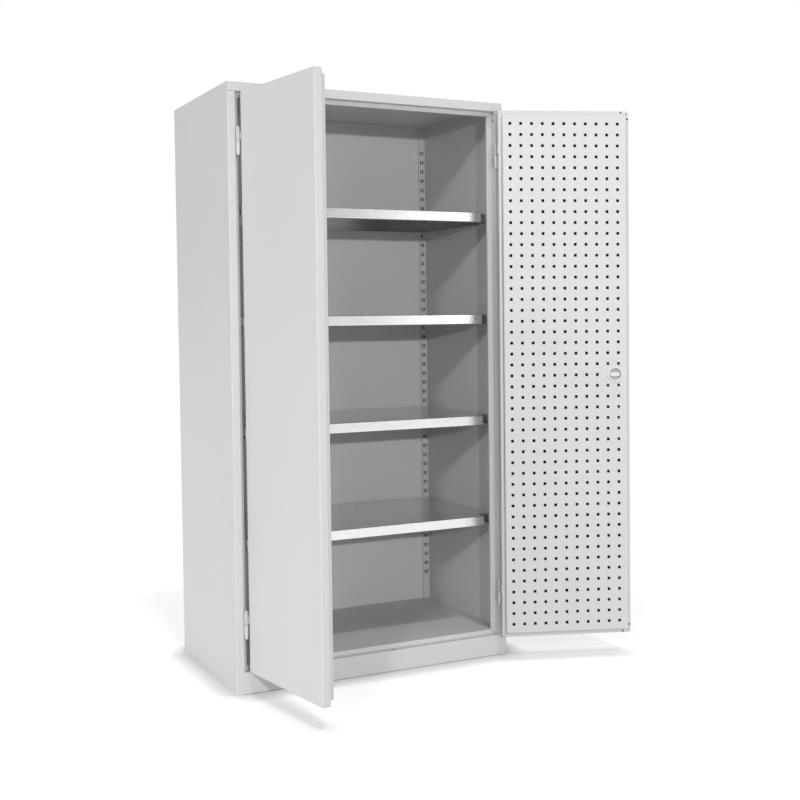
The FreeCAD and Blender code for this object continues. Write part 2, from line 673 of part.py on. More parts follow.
def outer_handle():
    """A grip on a hub, with a socket for the spindle behind and a bore for the key plug in front."""
    half = GRIP_LENGTH / 2
    half_width = GRIP_WIDTH / 2
    grip = prism(
        rectangle(LOCK_X - half, LOCK_X + half, LOCK_Z - half_width, LOCK_Z + half_width, GRIP_CORNER),
        "y", GRIP_FACE, GRIP_BACK)
    hub = prism(flats(LOCK_X, LOCK_Z, HANDLE_HUB_RADIUS, LARGE_FLATS), "y", GRIP_BACK, HANDLE_BACK)
    plug_bore = round_bore(PLUG_RADIUS + RUNNING_GAP, GRIP_FACE - OVERCUT, PLUG_BACK)
    return joined([grip, hub]).cut([spindle_socket(SPINDLE_ENDS[0], HANDLE_BACK + OVERCUT), plug_bore])


def key_plug():
    """The turning plug, with a keyway in its face."""
    plug = prism(flats(LOCK_X, LOCK_Z, PLUG_RADIUS, SMALL_FLATS), "y", GRIP_FACE, PLUG_BACK)
    keyway = box(
        LOCK_X - KEYWAY_WIDTH / 2, LOCK_X + KEYWAY_WIDTH / 2, GRIP_FACE - OVERCUT, GRIP_FACE + KEYWAY_DEPTH,
        LOCK_Z - KEYWAY_HEIGHT / 2, LOCK_Z + KEYWAY_HEIGHT / 2)
    return plug.cut(keyway)


# Assembly

def swung_right(shape):
    return shape.rotated(V(HINGE_X, HINGE_Y, 0), V(0, 0, 1), OPEN_RIGHT)


def swung_left(shape):
    return mirrored(shape).rotated(V(-HINGE_X, HINGE_Y, 0), V(0, 0, 1), -OPEN_LEFT)


def save(name, shapes):
    """Writes a node that holds one solid, or a group of alike ones."""
    shape = shapes[0] if len(shapes) == 1 else Part.makeCompound(shapes)
    shape.exportStep(os.path.join("parts", name + ".step"))


def save_pair(name, shapes):
    """Writes the right node and its mirror image on the left."""
    save("right_" + name, shapes)
    save("left_" + name, [mirrored(shape) for shape in shapes])


def save_carcass():
    save_pair("side_panel", [side_panel()])
    save_pair("rebate_angle", [side_rebate_angle()])
    save("top_rebate_angle", [top_rebate_angle()])
    save("top_panel", [top_panel()])
    save("floor_panel", [floor_panel()])
    save("plinth_front", [plinth_front()])
    save("back_panel", [back_panel()])
    save_pair("front_upright", [front_upright()])
    save_pair("rear_upright", [rear_upright()])
    for number, row in enumerate(SHELF_ROWS, 1):
        save(f"shelf_{number}", [shelf(row)])
        save(f"shelf_{number}_clips", shelf_clips(row))
    save_pair("frame_hinge_halves", frame_hinge_halves())
    save_pair("hinge_pins", hinge_pins())


def save_left_door():
    save("left_door_hinge_halves", [swung_left(half) for half in door_hinge_halves()])
    save("left_door_outer_pan", [swung_left(outer_pan())])
    save("left_door_inner_pan", [swung_left(inner_pan())])


def save_right_door():
    pieces = {
        "right_door_hinge_halves": door_hinge_halves(),
        "right_door_outer_pan": [locking_outer_pan()],
        "right_door_inner_pan": [perforated_inner_pan()],
        "lock_case": [lock_case()],
        "lock_spindle": [lock_spindle()],
        "lock_cam": [lock_cam()],
        "upper_lock_rod": [lock_rod(1, UPPER_STRAP, DOOR_TOP - ROD_SETBACK)],
        "lower_lock_rod": [lock_rod(-1, LOWER_STRAP, DOOR_BOTTOM + ROD_SETBACK)],
        "inner_rosette": [inner_rosette()],
        "inner_turn_bar": [inner_turn_bar()],
        "outer_escutcheon": [outer_escutcheon()],
        "outer_handle": [outer_handle()],
        "key_plug": [key_plug()],
    }
    for name, shapes in pieces.items():
        save(name, [swung_right(shape) for shape in shapes])


os.makedirs("parts", exist_ok=True)
save_carcass()
save_left_door()
save_right_door()
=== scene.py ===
import json
import math

import bmesh
import bpy
from mathutils import Matrix, Vector


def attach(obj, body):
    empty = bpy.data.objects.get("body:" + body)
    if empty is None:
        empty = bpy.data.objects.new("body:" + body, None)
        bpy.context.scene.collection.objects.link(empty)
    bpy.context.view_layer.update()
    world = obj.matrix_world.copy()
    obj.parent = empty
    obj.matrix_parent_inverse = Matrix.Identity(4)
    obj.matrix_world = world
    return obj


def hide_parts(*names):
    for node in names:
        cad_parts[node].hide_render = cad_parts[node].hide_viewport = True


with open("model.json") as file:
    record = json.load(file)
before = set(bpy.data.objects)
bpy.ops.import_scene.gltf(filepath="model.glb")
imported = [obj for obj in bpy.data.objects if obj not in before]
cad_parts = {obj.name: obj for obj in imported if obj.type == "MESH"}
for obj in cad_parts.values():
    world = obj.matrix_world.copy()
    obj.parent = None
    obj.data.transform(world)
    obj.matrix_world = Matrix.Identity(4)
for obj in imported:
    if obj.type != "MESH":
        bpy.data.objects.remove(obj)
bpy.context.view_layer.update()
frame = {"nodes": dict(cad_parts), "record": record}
nodes = frame["nodes"]
scene = bpy.context.scene

# Sizes are in millimetres, X to the right, Y to the back and Z up; meshes are made in metres.
MM = 0.001

# Carcass
SIDE = 500.0
FRONT = -300.0
BACK = 300.0
HEIGHT = 1950.0
BODY_SHEET = 1.5
STILE_WIDTH = 27.0
REBATE_DEPTH = 30.0
RAIL_HEIGHT = 30.0
LIP_WIDTH = 16.5
LIP_HEIGHT = 14.0
LIP_RETURN = 10.0
REAR_FLANGE = 25.0
PLINTH = 72.0
PLINTH_FOOT = 40.0
FOLD = 2.6
SEAM = 0.5
JAMB_HOLE = (-281.6, 1890.0)
JAMB_HOLE_RADIUS = 5.0

# Slotted uprights
REAR_UPRIGHT_WIDTH = 27.0
REAR_UPRIGHT_DEPTH = 8.0
FRONT_UPRIGHT_WIDTH = 20.0
FRONT_UPRIGHT_SETBACK = 70.0
FRONT_UPRIGHT_LEG = 30.0
UPRIGHT_FOLD = 2.0
SLOT_WIDTH = 5.0
SLOT_HEIGHT = 14.0
SLOT_INSETS = (10.4, 19.0)
SLOT_FIRST_ROW = 191.5
SLOT_PITCH = 36.0
SLOT_ROWS = 47

# Shelves
SHELF_ROWS = (7, 17, 27, 37)
SHELF_RISE = 14.3
SHELF_SHEET = 1.5
SHELF_FOLD = 2.5
SHELF_HEIGHT = 34.0
SHELF_SETBACK = 52.0
SHELF_SIDE_GAP = 2.5
SHELF_REAR_GAP = 2.0
SHELF_NOTCH_WIDTH = 55.0
SHELF_NOTCH_DEPTH = 50.0
SHELF_HEM = 14.0
SHELF_HEM_UPTURN = 8.0

# Doors, shut
DOOR_SHEET = 1.5
DOOR_FREE_EDGE = 2.0
DOOR_HINGE_EDGE = 465.0
DOOR_BOTTOM = 74.5
DOOR_TOP = 1917.5
PAN_DEPTH = 27.0
PAN_FOLD = 2.6
PAN_CORNER = 6.0
RIM_WIDTH = 18.0
FREE_RIM_WIDTH = 8.6
RIM_SLIT = 1.0
RIM_HOLE_RADIUS = 3.2
RIM_HOLE_INSET = 4.8
RIM_HOLE_FROM_CORNER = 28.0
INNER_PAN_DEPTH = 17.0
INNER_SIDE_INSET = 11.5
INNER_END_INSET = 14.5
INNER_FOLD = 4.0
HOLE_SIZE = 10.0
HOLE_PITCH = 38.0
HOLE_HINGE_MARGIN = 38.5
HOLE_COLUMNS = 11
HOLE_ROWS = 47
OPEN_LEFT = math.radians(82.1)
OPEN_RIGHT = math.radians(158.8)

# Hinges
HINGE_X = 469.0
HINGE_FORWARD = 8.0
HINGE_FROM_END = 153.0
HINGE_HALF = 46.0
HINGE_RADIUS = 6.5
HINGE_EASE = 0.8
HINGE_JOINT_GAP = 0.6
HINGE_TAPER = 12.0
HINGE_TIP_RADIUS = 4.3
HINGE_TIP_EASE = 1.0
HINGE_TIP_FLAT = 2.9
HINGE_LEAF = 3.0
HINGE_LEAF_DEPTH = 24.0
HINGE_LEAF_MARGIN = 4.0
HINGE_LEAF_EDGE = 0.6
PIN_BORE = 4.2
PIN_REACH = 31.0

# Lock
LOCK_X = 58.0
ROD_X = 62.0
ROD_DEPTH = 11.0
ROD_ROOM = 5.4
KEEP_ROOM = 6.5
ROSETTE_RADIUS = 28.0
ROSETTE_RISE = 3.0
ROSETTE_COVER = 2.0
CUP_RADIUS = 21.0
# Within this radius the cup is painted darker as shade
CUP_PAINTED_SHADE_RADIUS = 20.0
CUP_DEPTH = 11.0
CUP_WALL = 1.5
TURN_HUB_RADIUS = 8.0
TURN_HUB_ROOM = 0.2
TURN_BAR = (36.0, 15.0, 8.0)
TURN_BAR_CORNER = 5.0
TURN_BAR_EDGE = 1.6
ESCUTCHEON_RADIUS = 29.0
ESCUTCHEON_RISE = 5.0
ESCUTCHEON_BORE = 7.0
HANDLE_GAP = 0.5
HUB_RADIUS = 15.0
HUB_LENGTH = 14.0
HUB_NECK_RADIUS = 12.8
HUB_SUNK = 3.0
GRIP = (96.0, 24.0, 16.0)
GRIP_CORNER = 10.0
GRIP_EDGE = 4.5
PLUG_BORE = 7.05
PLUG_LENGTH = 16.0
PLUG_OVERCUT = 2.0

# Soft edges of the lock's turned pieces: steps in from a radius and back from a face
ROSETTE_RIM = ((0.0, 1.8), (0.5, 0.8), (1.5, 0.1), (2.6, 0.0))
CUP_MOUTH = ((-1.6, 0.0), (-0.5, 0.3), (0.4, 1.4))
CUP_FOOT = ((0.0, 3.0), (0.8, 0.9), (2.6, 0.0))
ESCUTCHEON_RIM = ((0.0, 2.4), (0.7, 1.0), (2.0, 0.2), (3.4, 0.0))
HUB_FLARE = ((0.0, 0.0), (0.0, 2.0), (2.2, 4.5), (3.0, 8.0))

# Places that follow from the sizes above
JAMB = SIDE - STILE_WIDTH
REBATE = FRONT + REBATE_DEPTH
RAIL = HEIGHT - RAIL_HEIGHT
WALL = SIDE - BODY_SHEET
CEILING = HEIGHT - BODY_SHEET
BACK_PANEL = BACK - 2 * BODY_SHEET
REAR_UPRIGHT = BACK_PANEL - REAR_UPRIGHT_DEPTH
FRONT_UPRIGHT = FRONT + FRONT_UPRIGHT_SETBACK
LIP_EDGE = JAMB - LIP_WIDTH
REBATE_BACK = REBATE + LIP_RETURN
DECK = PLINTH + LIP_HEIGHT
# Where the rear uprights cover the back, and where its painted shade strips run
COVERED = (WALL - REAR_UPRIGHT_WIDTH + BODY_SHEET, WALL - BODY_SHEET)
MITRE = LIP_WIDTH / LIP_HEIGHT
RIM = FRONT + PAN_DEPTH
INNER_FACE = RIM + INNER_PAN_DEPTH
HINGE_Y = FRONT - HINGE_FORWARD
HINGE_HEIGHTS = (DOOR_BOTTOM + HINGE_FROM_END, DOOR_TOP - HINGE_FROM_END)
ROD_Y = FRONT + ROD_DEPTH
LOCK_Z = (DOOR_BOTTOM + DOOR_TOP) / 2
LOCK = (LOCK_X, LOCK_Z)
CUP_FLOOR = INNER_FACE - CUP_DEPTH
ESCUTCHEON_FACE = FRONT - ESCUTCHEON_RISE
HANDLE_BACK = ESCUTCHEON_FACE - HANDLE_GAP
GRIP_BACK = HANDLE_BACK - HUB_LENGTH
GRIP_FACE = GRIP_BACK - GRIP[2]

# How fine the meshes are
FOLD_STEPS = 5
ROUND_STEPS = 48
FINE_ROUND_STEPS = 64
SMALL_HOLE_STEPS = 24
SHARP = math.radians(35)
STRAIGHT = 1e-4
WELD = 0.01

# A face whose middle is this close to a plane counts as lying on it
NEAR = 1.0


# Meshes

def at(u, v, axis, level):
    """A point of a section, on the plane square to an axis, in millimetres."""
    return Vector({"x": (level, u, v), "y": (u, level, v), "z": (u, v, level)}[axis])


def fold(points, radius, thickness, side):
    """Stations along a folded sheet: points of one face, each with its direction to the other face."""
    steps = [
        Vector((end[0] - start[0], end[1] - start[1])).normalized()
        for start, end in zip(points, points[1:])]
    stations = [(Vector(points[0]), steps[0].orthogonal() * side)]
    for corner, before, after in zip(points[1:-1], steps, steps[1:]):
        turn = math.atan2(before.cross(after), before.dot(after))
        if abs(turn) < STRAIGHT:
            stations.append((Vector(corner), before.orthogonal() * side))
            continue
        face = math.copysign(radius if turn * side > 0 else radius - thickness, turn)
        centre = Vector(corner) - before * abs(face) * math.tan(abs(turn) / 2) + before.orthogonal() * face
        for k in range(FOLD_STEPS + 1):
            left = Matrix.Rotation(turn * k / FOLD_STEPS, 2) @ before.orthogonal()
            stations.append((centre - left * face, left * side))
    stations.append((Vector(points[-1]), steps[-1].orthogonal() * side))
    return stations


def surface():
    """An empty mesh whose points carry the way to the sheet's other face."""
    bm = bmesh.new()
    bm.verts.layers.float_vector.new("depth")
    return bm


def point(bm, place, depth):
    """A new point of a surface, with its way to the sheet's other face."""
    vert = bm.verts.new(place * MM)
    vert[bm.verts.layers.float_vector["depth"]] = depth * MM
    return vert


def thicken(bm):
    """Closes a surface into a sheet, by its inner face and the edges between the two."""
    bmesh.ops.remove_doubles(bm, verts=bm.verts, dist=WELD * MM)
    depth = bm.verts.layers.float_vector["depth"]
    faces = list(bm.faces)
    rim = [edge for edge in bm.edges if len(edge.link_faces) == 1]
    twin = {vert: bm.verts.new(vert.co + vert[depth]) for vert in list(bm.verts)}
    for face in faces:
        inner = bm.faces.new([twin[vert] for vert in reversed(face.verts)])
        # Inner faces take a piece's second finish, a painted shade, where it has one.
        inner.material_index = 1
    for edge in rim:
        start, end = edge.verts
        bm.faces.new([start, end, twin[end], twin[start]])
    bmesh.ops.recalc_face_normals(bm, faces=bm.faces)
    return bm


def middle(verts):
    """The middle of some points, in millimetres."""
    return sum((vert.co for vert in verts), Vector()) / len(verts) / MM


def patch(bm, grid, gone):
    """Faces between rows of points, less those whose middle is in a hole."""
    for row, after in zip(grid, grid[1:]):
        for i in range(len(row) - 1):
            corners = [row[i], row[i + 1], after[i + 1], after[i]]
            if not gone(*middle(corners)):
                bm.faces.new(corners)


def nowhere(x, y, z):
    """The holes of a sheet that has none."""
    return False


def sheet(points, radius, thickness, side, axis, levels, gone=nowhere):
    """A folded sheet carried along an axis; a level may change from point to point, as at a mitre."""
    bm = surface()
    grid = []
    for spot, across in fold(points, radius, thickness, side):
        depth = at(across.x, across.y, axis, 0) * thickness
        heights = [level(*spot) if callable(level) else level for level in levels]
        grid.append([point(bm, at(spot.x, spot.y, axis, height), depth) for height in heights])
    patch(bm, grid, gone)
    return thicken(bm)


def pan_ring(xs, zs, reach):
    """Points round a rectangle of grid lines, moved out by reach, with the way out at each."""
    sides = [
        ([(x, zs[0]) for x in xs], -90), ([(xs[-1], z) for z in zs], 0),
        ([(x, zs[-1]) for x in reversed(xs)], 90), ([(xs[0], z) for z in reversed(zs)], 180)]
    ring = []
    for spots, angle in sides:
        way = Vector((math.cos(math.radians(angle)), 0, math.sin(math.radians(angle))))
        ring += [(Vector((x, 0, z)) + way * reach, way) for x, z in spots]
        for k in range(1, FOLD_STEPS):
            turn = math.radians(angle + 90 * k / FOLD_STEPS)
            way = Vector((math.cos(turn), 0, math.sin(turn)))
            ring.append((Vector((spots[-1][0], 0, spots[-1][1])) + way * reach, way))
    return ring + ring[:1]


def pan(xs, zs, profile, radius, thickness, face, face_depth, gone=nowhere):
    """A pressed pan's face on a grid of lines, and the folded wall that goes round it."""
    bm = surface()
    grid = []
    for spot, across in fold(profile, radius, thickness, 1):
        row = []
        for place, way in pan_ring(xs, zs, spot.x):
            depth = way * across.x + Vector((0, across.y, 0))
            row.append(point(bm, place + Vector((0, spot.y, 0)), depth * thickness))
        grid.append(row)
    patch(bm, grid, gone)
    flat = Vector((0, face_depth * thickness, 0))
    patch(bm, [[point(bm, Vector((x, face, z)), flat) for z in zs] for x in xs], gone)
    return bm


def lathe(profile, centre, axis, steps=ROUND_STEPS):
    """A turned solid: a closed profile of radius and level carried round an axis."""
    bm = bmesh.new()
    rings = []
    for k in range(steps):
        turn = 2 * math.pi * k / steps
        rings.append([
            bm.verts.new(at(
                centre[0] + radius * math.cos(turn), centre[1] + radius * math.sin(turn), axis, level) * MM)
            for radius, level in profile])
    for ring, after in zip(rings, rings[1:] + rings[:1]):
        for i in range(len(profile)):
            if profile[i - 1][0] or profile[i][0]:
                bm.faces.new([ring[i - 1], ring[i], after[i], after[i - 1]])
    bmesh.ops.remove_doubles(bm, verts=bm.verts, dist=WELD * MM)
    bmesh.ops.recalc_face_normals(bm, faces=bm.faces)
    return bm


def round_bar(radius, low, high, centre, axis, steps=ROUND_STEPS):
    """A plain turned bar between two levels."""
    return lathe([(0, low), (radius, low), (radius, high), (0, high)], centre, axis, steps)


def soft_edge(steps, radius, face, way):
    """The soft edge of a turned profile, in steps from a radius and from a face that looks along way."""
    return [(radius - inwards, face - way * back) for inwards, back in steps]


def rounded(outline, axis, low, high, edge, steps=3):
    """An outline pushed along an axis, all its edges rounded."""
    bm = bmesh.new()
    base = [bm.verts.new(at(u, v, axis, low) * MM) for u, v in outline]
    face = bm.faces.new(base)
    top = bmesh.ops.extrude_face_region(bm, geom=[face])
    lifted = [item for item in top["geom"] if isinstance(item, bmesh.types.BMVert)]
    bmesh.ops.translate(bm, verts=lifted, vec=at(0, 0, axis, high - low) * MM)
    bmesh.ops.recalc_face_normals(bm, faces=bm.faces)
    sharp = [bend for bend in bm.edges if bend.calc_face_angle(0) > SHARP]
    bmesh.ops.bevel(
        bm, geom=sharp, offset=edge * MM, segments=steps, profile=0.5, affect="EDGES", clamp_overlap=True)
    return bm


def oblong(u, v, length, width, corner, steps=8):
    """The outline of a rectangle about a point, with round corners."""
    spots = []
    for angle, to_u, to_v in ((0, 1, 1), (90, -1, 1), (180, -1, -1), (270, 1, -1)):
        for k in range(steps + 1):
            turn = math.radians(angle + 90 * k / steps)
            spots.append((
                u + to_u * (length / 2 - corner) + corner * math.cos(turn),
                v + to_v * (width / 2 - corner) + corner * math.sin(turn)))
    return spots


def together(meshes):
    """Several meshes as one."""
    whole = meshes[0]
    for other in meshes[1:]:
        carrier = bpy.data.meshes.new("carrier")
        other.to_mesh(carrier)
        other.free()
        whole.from_mesh(carrier)
        bpy.data.meshes.remove(carrier)
    return whole


def about_hinge(side, angle):
    """The turn of a door about its hinges' axis, right for side 1 and left for -1."""
    axis = Vector((side * HINGE_X, HINGE_Y, 0)) * MM
    return Matrix.Translation(axis) @ Matrix.Rotation(side * angle, 4, "Z") @ Matrix.Translation(-axis)


MIRROR = Matrix.Scale(-1, 4, (1, 0, 0))
SWUNG = {"left": about_hinge(-1, OPEN_LEFT) @ MIRROR, "right": about_hinge(1, OPEN_RIGHT)}
STANDING = {"left": MIRROR, "right": Matrix.Identity(4)}


def moved_mesh(bm, name, move):
    """A mesh moved into place; after a mirroring its faces are turned the right way out again."""
    bm.transform(move)
    if move.determinant() < 0:
        bmesh.ops.reverse_faces(bm, faces=bm.faces)
    mesh = bpy.data.meshes.new(name)
    bm.to_mesh(mesh)
    bm.free()
    return mesh


def finished(bm, name, slot, body, replaced, move=Matrix.Identity(4), painted_shade_finish=None):
    """A mesh made into a piece of the cabinet, with its finish, the body it moves with, and any painted
    shade finish.
    """
    mesh = moved_mesh(bm, name, move)
    mesh.polygons.foreach_set("use_smooth", [True] * len(mesh.polygons))
    mesh.set_sharp_from_angle(angle=SHARP)
    mesh.materials.append(finishes[slot])
    if painted_shade_finish:
        mesh.materials.append(finishes[painted_shade_finish])
    else:
        mesh.polygons.foreach_set("material_index", [0] * len(mesh.polygons))
    piece = bpy.data.objects.new(name, mesh)
    scene.collection.objects.link(piece)
    even = piece.modifiers.new("even_normals", "WEIGHTED_NORMAL")
    even.keep_sharp = True
    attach(piece, body)
    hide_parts(*replaced)
    return piece


def drill(piece, cutter, move):
    """Cuts a hole in a piece, with a cutter that is moved as the piece was."""
    mesh = moved_mesh(cutter, "drill", move)
    tool = bpy.data.objects.new("drill", mesh)
    scene.collection.objects.link(tool)
    cut = piece.modifiers.new("drill", "BOOLEAN")
    cut.object = tool
    cut.operation = "DIFFERENCE"
    cut.solver = "EXACT"
    even = piece.modifiers["even_normals"]
    even.show_viewport = False
    bpy.context.view_layer.update()
    graph = bpy.context.evaluated_depsgraph_get()
    holed = bpy.data.meshes.new_from_object(piece.evaluated_get(graph))
    holed.set_sharp_from_angle(angle=SHARP)
    piece.modifiers.remove(cut)
    even.show_viewport = True
    piece.data = holed
    bpy.data.objects.remove(tool)
    bpy.data.meshes.remove(mesh)


# Finishes

def node(tree, kind, **values):
    """A shader node with its properties and input values set."""
    made = tree.nodes.new(kind)
    for key, value in values.items():
        if hasattr(made, key):
            setattr(made, key, value)
        else:
            made.inputs[key.replace("_", " ")].default_value = value
    return made


def maths(tree, operation, *values):
    """The result of a maths node; each input is a number or another node's output."""
    made = node(tree, "ShaderNodeMath", operation=operation)
    for socket, value in zip(made.inputs, values):
        if isinstance(value, bpy.types.NodeSocket):
            tree.links.new(value, socket)
        else:
            socket.default_value = value
    return made.outputs[0]


def swung(tree, noise, strength, centre):
    """A noise between nought and one, made into a swing about a centre."""
    swing = maths(tree, "SUBTRACT", noise, 0.5)
    return maths(tree, "MULTIPLY_ADD", swing, strength, centre)


def scaled(tree, colour, factor):
    """A colour made lighter or darker by a factor."""
    made = node(tree, "ShaderNodeVectorMath", operation="SCALE")
    tree.links.new(colour, made.inputs[0])
    tree.links.new(factor, made.inputs["Scale"])
    return made.outputs["Vector"]


def grey(level):
    """A neutral colour."""
    return (level, level, level, 1)


def group(name, inputs, outputs):
    """An empty node group with named sockets, and its two ends."""
    tree = bpy.data.node_groups.new(name, "ShaderNodeTree")
    for label, value in inputs.items():
        kind = "NodeSocketColor" if isinstance(value, tuple) else "NodeSocketFloat"
        tree.interface.new_socket(label, in_out="INPUT", socket_type=kind).default_value = value
    for label, kind in outputs.items():
        tree.interface.new_socket(label, in_out="OUTPUT", socket_type=kind)
    return tree, tree.nodes.new("NodeGroupInput"), tree.nodes.new("NodeGroupOutput")


def uneven_tone():
    """A colour that drifts a little lighter and darker over the surface."""
    tree, given, out = group(
        "uneven_tone", {"Color": grey(0.6), "Spread": 0.04, "Scale": 3.0},
        {"Color": "NodeSocketColor"})
    place = node(tree, "ShaderNodeTexCoord")
    drift = node(tree, "ShaderNodeTexNoise", Detail=3.0, Roughness=0.55)
    amount = node(tree, "ShaderNodeMapRange", From_Min=0.3, From_Max=0.7)
    darkest = maths(tree, "SUBTRACT", 1.0, given.outputs["Spread"])
    lightest = maths(tree, "ADD", 1.0, given.outputs["Spread"])
    link = tree.links.new
    link(place.outputs["Object"], drift.inputs["Vector"])
    link(given.outputs["Scale"], drift.inputs["Scale"])
    link(drift.outputs["Fac"], amount.inputs["Value"])
    link(darkest, amount.inputs["To Min"])
    link(lightest, amount.inputs["To Max"])
    shaded = scaled(tree, given.outputs["Color"], amount.outputs["Result"])
    link(shaded, out.inputs["Color"])
    return tree


def fine_texture():
    """The small unevenness of a coated, plated or moulded surface, and a gloss that drifts over it."""
    tree, given, out = group(
        "fine_texture", {"Scale": 700.0, "Roughness": 0.45, "Roughness Spread": 0.06},
        {"Height": "NodeSocketFloat", "Roughness": "NodeSocketFloat"})
    place = node(tree, "ShaderNodeTexCoord")
    grain = node(tree, "ShaderNodeTexNoise", Detail=2.0, Roughness=0.5)
    patches = node(tree, "ShaderNodeTexNoise", Scale=9.0, Detail=4.0, Roughness=0.6)
    link = tree.links.new
    link(place.outputs["Object"], grain.inputs["Vector"])
    link(place.outputs["Object"], patches.inputs["Vector"])
    link(given.outputs["Scale"], grain.inputs["Scale"])
    gloss = swung(
        tree, patches.outputs["Fac"], given.outputs["Roughness Spread"], given.outputs["Roughness"])
    link(grain.outputs["Fac"], out.inputs["Height"])
    link(gloss, out.inputs["Roughness"])
    return tree


def rolled_streaks():
    """Long faint streaks left by rolling, along X, as a factor about one."""
    tree, given, out = group(
        "rolled_streaks", {"Scale": 60.0, "Strength": 0.1}, {"Factor": "NodeSocketFloat"})
    place = node(tree, "ShaderNodeTexCoord")
    stretch = node(tree, "ShaderNodeMapping")
    stretch.inputs["Scale"].default_value = (0.03, 1.0, 1.0)
    streaks = node(tree, "ShaderNodeTexNoise", Detail=4.0, Roughness=0.6)
    link = tree.links.new
    link(place.outputs["Object"], stretch.inputs["Vector"])
    link(stretch.outputs["Vector"], streaks.inputs["Vector"])
    link(given.outputs["Scale"], streaks.inputs["Scale"])
    link(swung(tree, streaks.outputs["Fac"], given.outputs["Strength"], 1.0), out.inputs["Factor"])
    return tree


def spangle():
    """The faint crystal pattern of a zinc coat, as a factor about one."""
    tree, given, out = group(
        "spangle", {"Scale": 90.0, "Strength": 0.08}, {"Factor": "NodeSocketFloat"})
    place = node(tree, "ShaderNodeTexCoord")
    crystals = node(tree, "ShaderNodeTexVoronoi")
    tone = node(tree, "ShaderNodeSeparateColor")
    link = tree.links.new
    link(place.outputs["Object"], crystals.inputs["Vector"])
    link(given.outputs["Scale"], crystals.inputs["Scale"])
    link(crystals.outputs["Color"], tone.inputs["Color"])
    link(swung(tree, tone.outputs["Red"], given.outputs["Strength"], 1.0), out.inputs["Factor"])
    return tree


def painted_shade_strips():
    """Two upright strips, one on each side, darkened as painted shade behind the uprights' slots, as a
    factor of the painted tone.
    """
    tree, given, out = group(
        "painted_shade_strips", {"From": 0.47, "To": 0.49, "Tone": 0.05}, {"Factor": "NodeSocketFloat"})
    place = node(tree, "ShaderNodeTexCoord")
    parts = node(tree, "ShaderNodeSeparateXYZ")
    across = maths(tree, "ABSOLUTE", parts.outputs["X"])
    past_start = maths(tree, "GREATER_THAN", across, given.outputs["From"])
    before_end = maths(tree, "LESS_THAN", across, given.outputs["To"])
    in_strip = maths(tree, "MULTIPLY", past_start, before_end)
    factor = node(tree, "ShaderNodeMapRange", To_Min=1.0)
    link = tree.links.new
    link(place.outputs["Object"], parts.inputs["Vector"])
    link(in_strip, factor.inputs["Value"])
    link(given.outputs["Tone"], factor.inputs["To Max"])
    link(factor.outputs["Result"], out.inputs["Factor"])
    return tree


GROUPS = {
    made.name: made
    for made in (uneven_tone(), fine_texture(), rolled_streaks(), spangle(), painted_shade_strips())}
RELIEF_DEPTH = 0.0004
finishes = {}


def placed_group(tree, name, **values):
    """A node group placed in a material, with its own values."""
    made = tree.nodes.new("ShaderNodeGroup")
    made.node_tree = GROUPS[name]
    for key, value in values.items():
        made.inputs[key.replace("_", " ")].default_value = value
    return made


def finish(name, tone, texture, bump, metallic=0.0, factors=()):
    """Adds a material: an uneven tone, a fine texture in gloss and relief, and factors on the tone."""
    material = bpy.data.materials.new(name)
    material.use_nodes = True
    tree = material.node_tree
    shader = tree.nodes["Principled BSDF"]
    shader.inputs["Metallic"].default_value = metallic
    colour = placed_group(tree, "uneven_tone", **tone).outputs["Color"]
    for label, values in factors:
        colour = scaled(tree, colour, placed_group(tree, label, **values).outputs["Factor"])
    grain = placed_group(tree, "fine_texture", **texture)
    relief = node(tree, "ShaderNodeBump", Strength=bump, Distance=RELIEF_DEPTH)
    link = tree.links.new
    link(colour, shader.inputs["Base Color"])
    link(grain.outputs["Roughness"], shader.inputs["Roughness"])
    link(grain.outputs["Height"], relief.inputs["Height"])
    link(relief.outputs["Normal"], shader.inputs["Normal"])
    finishes[name] = material


def paint(name, level, factors=()):
    """Adds a smooth powder coat."""
    finish(
        name, {"Color": grey(level), "Spread": 0.012, "Scale": 2.5},
        {"Scale": 900.0, "Roughness": 0.42, "Roughness_Spread": 0.06}, bump=0.06, factors=factors)


paint("grey_paint", 0.58)
# A darker copy of the grey paint: painted shade on the doors' hinge halves.
paint("hinge_paint_painted_shade", 0.47)
# The back's paint: a lighter copy of the grey paint as painted light, with painted shade strips behind the
# slotted uprights.
paint(
    "back_paint_painted_light_and_shade", 0.64,
    factors=[("painted_shade_strips", {"From": COVERED[0] * MM, "To": COVERED[1] * MM, "Tone": 0.05})])
finish(
    "galvanised_steel", {"Color": grey(0.75), "Spread": 0.03, "Scale": 5.0},
    {"Scale": 500.0, "Roughness": 0.26, "Roughness_Spread": 0.1}, bump=0.03, metallic=1.0,
    factors=[
        ("rolled_streaks", {"Scale": 40.0, "Strength": 0.18}),
        ("spangle", {"Scale": 110.0, "Strength": 0.06})])
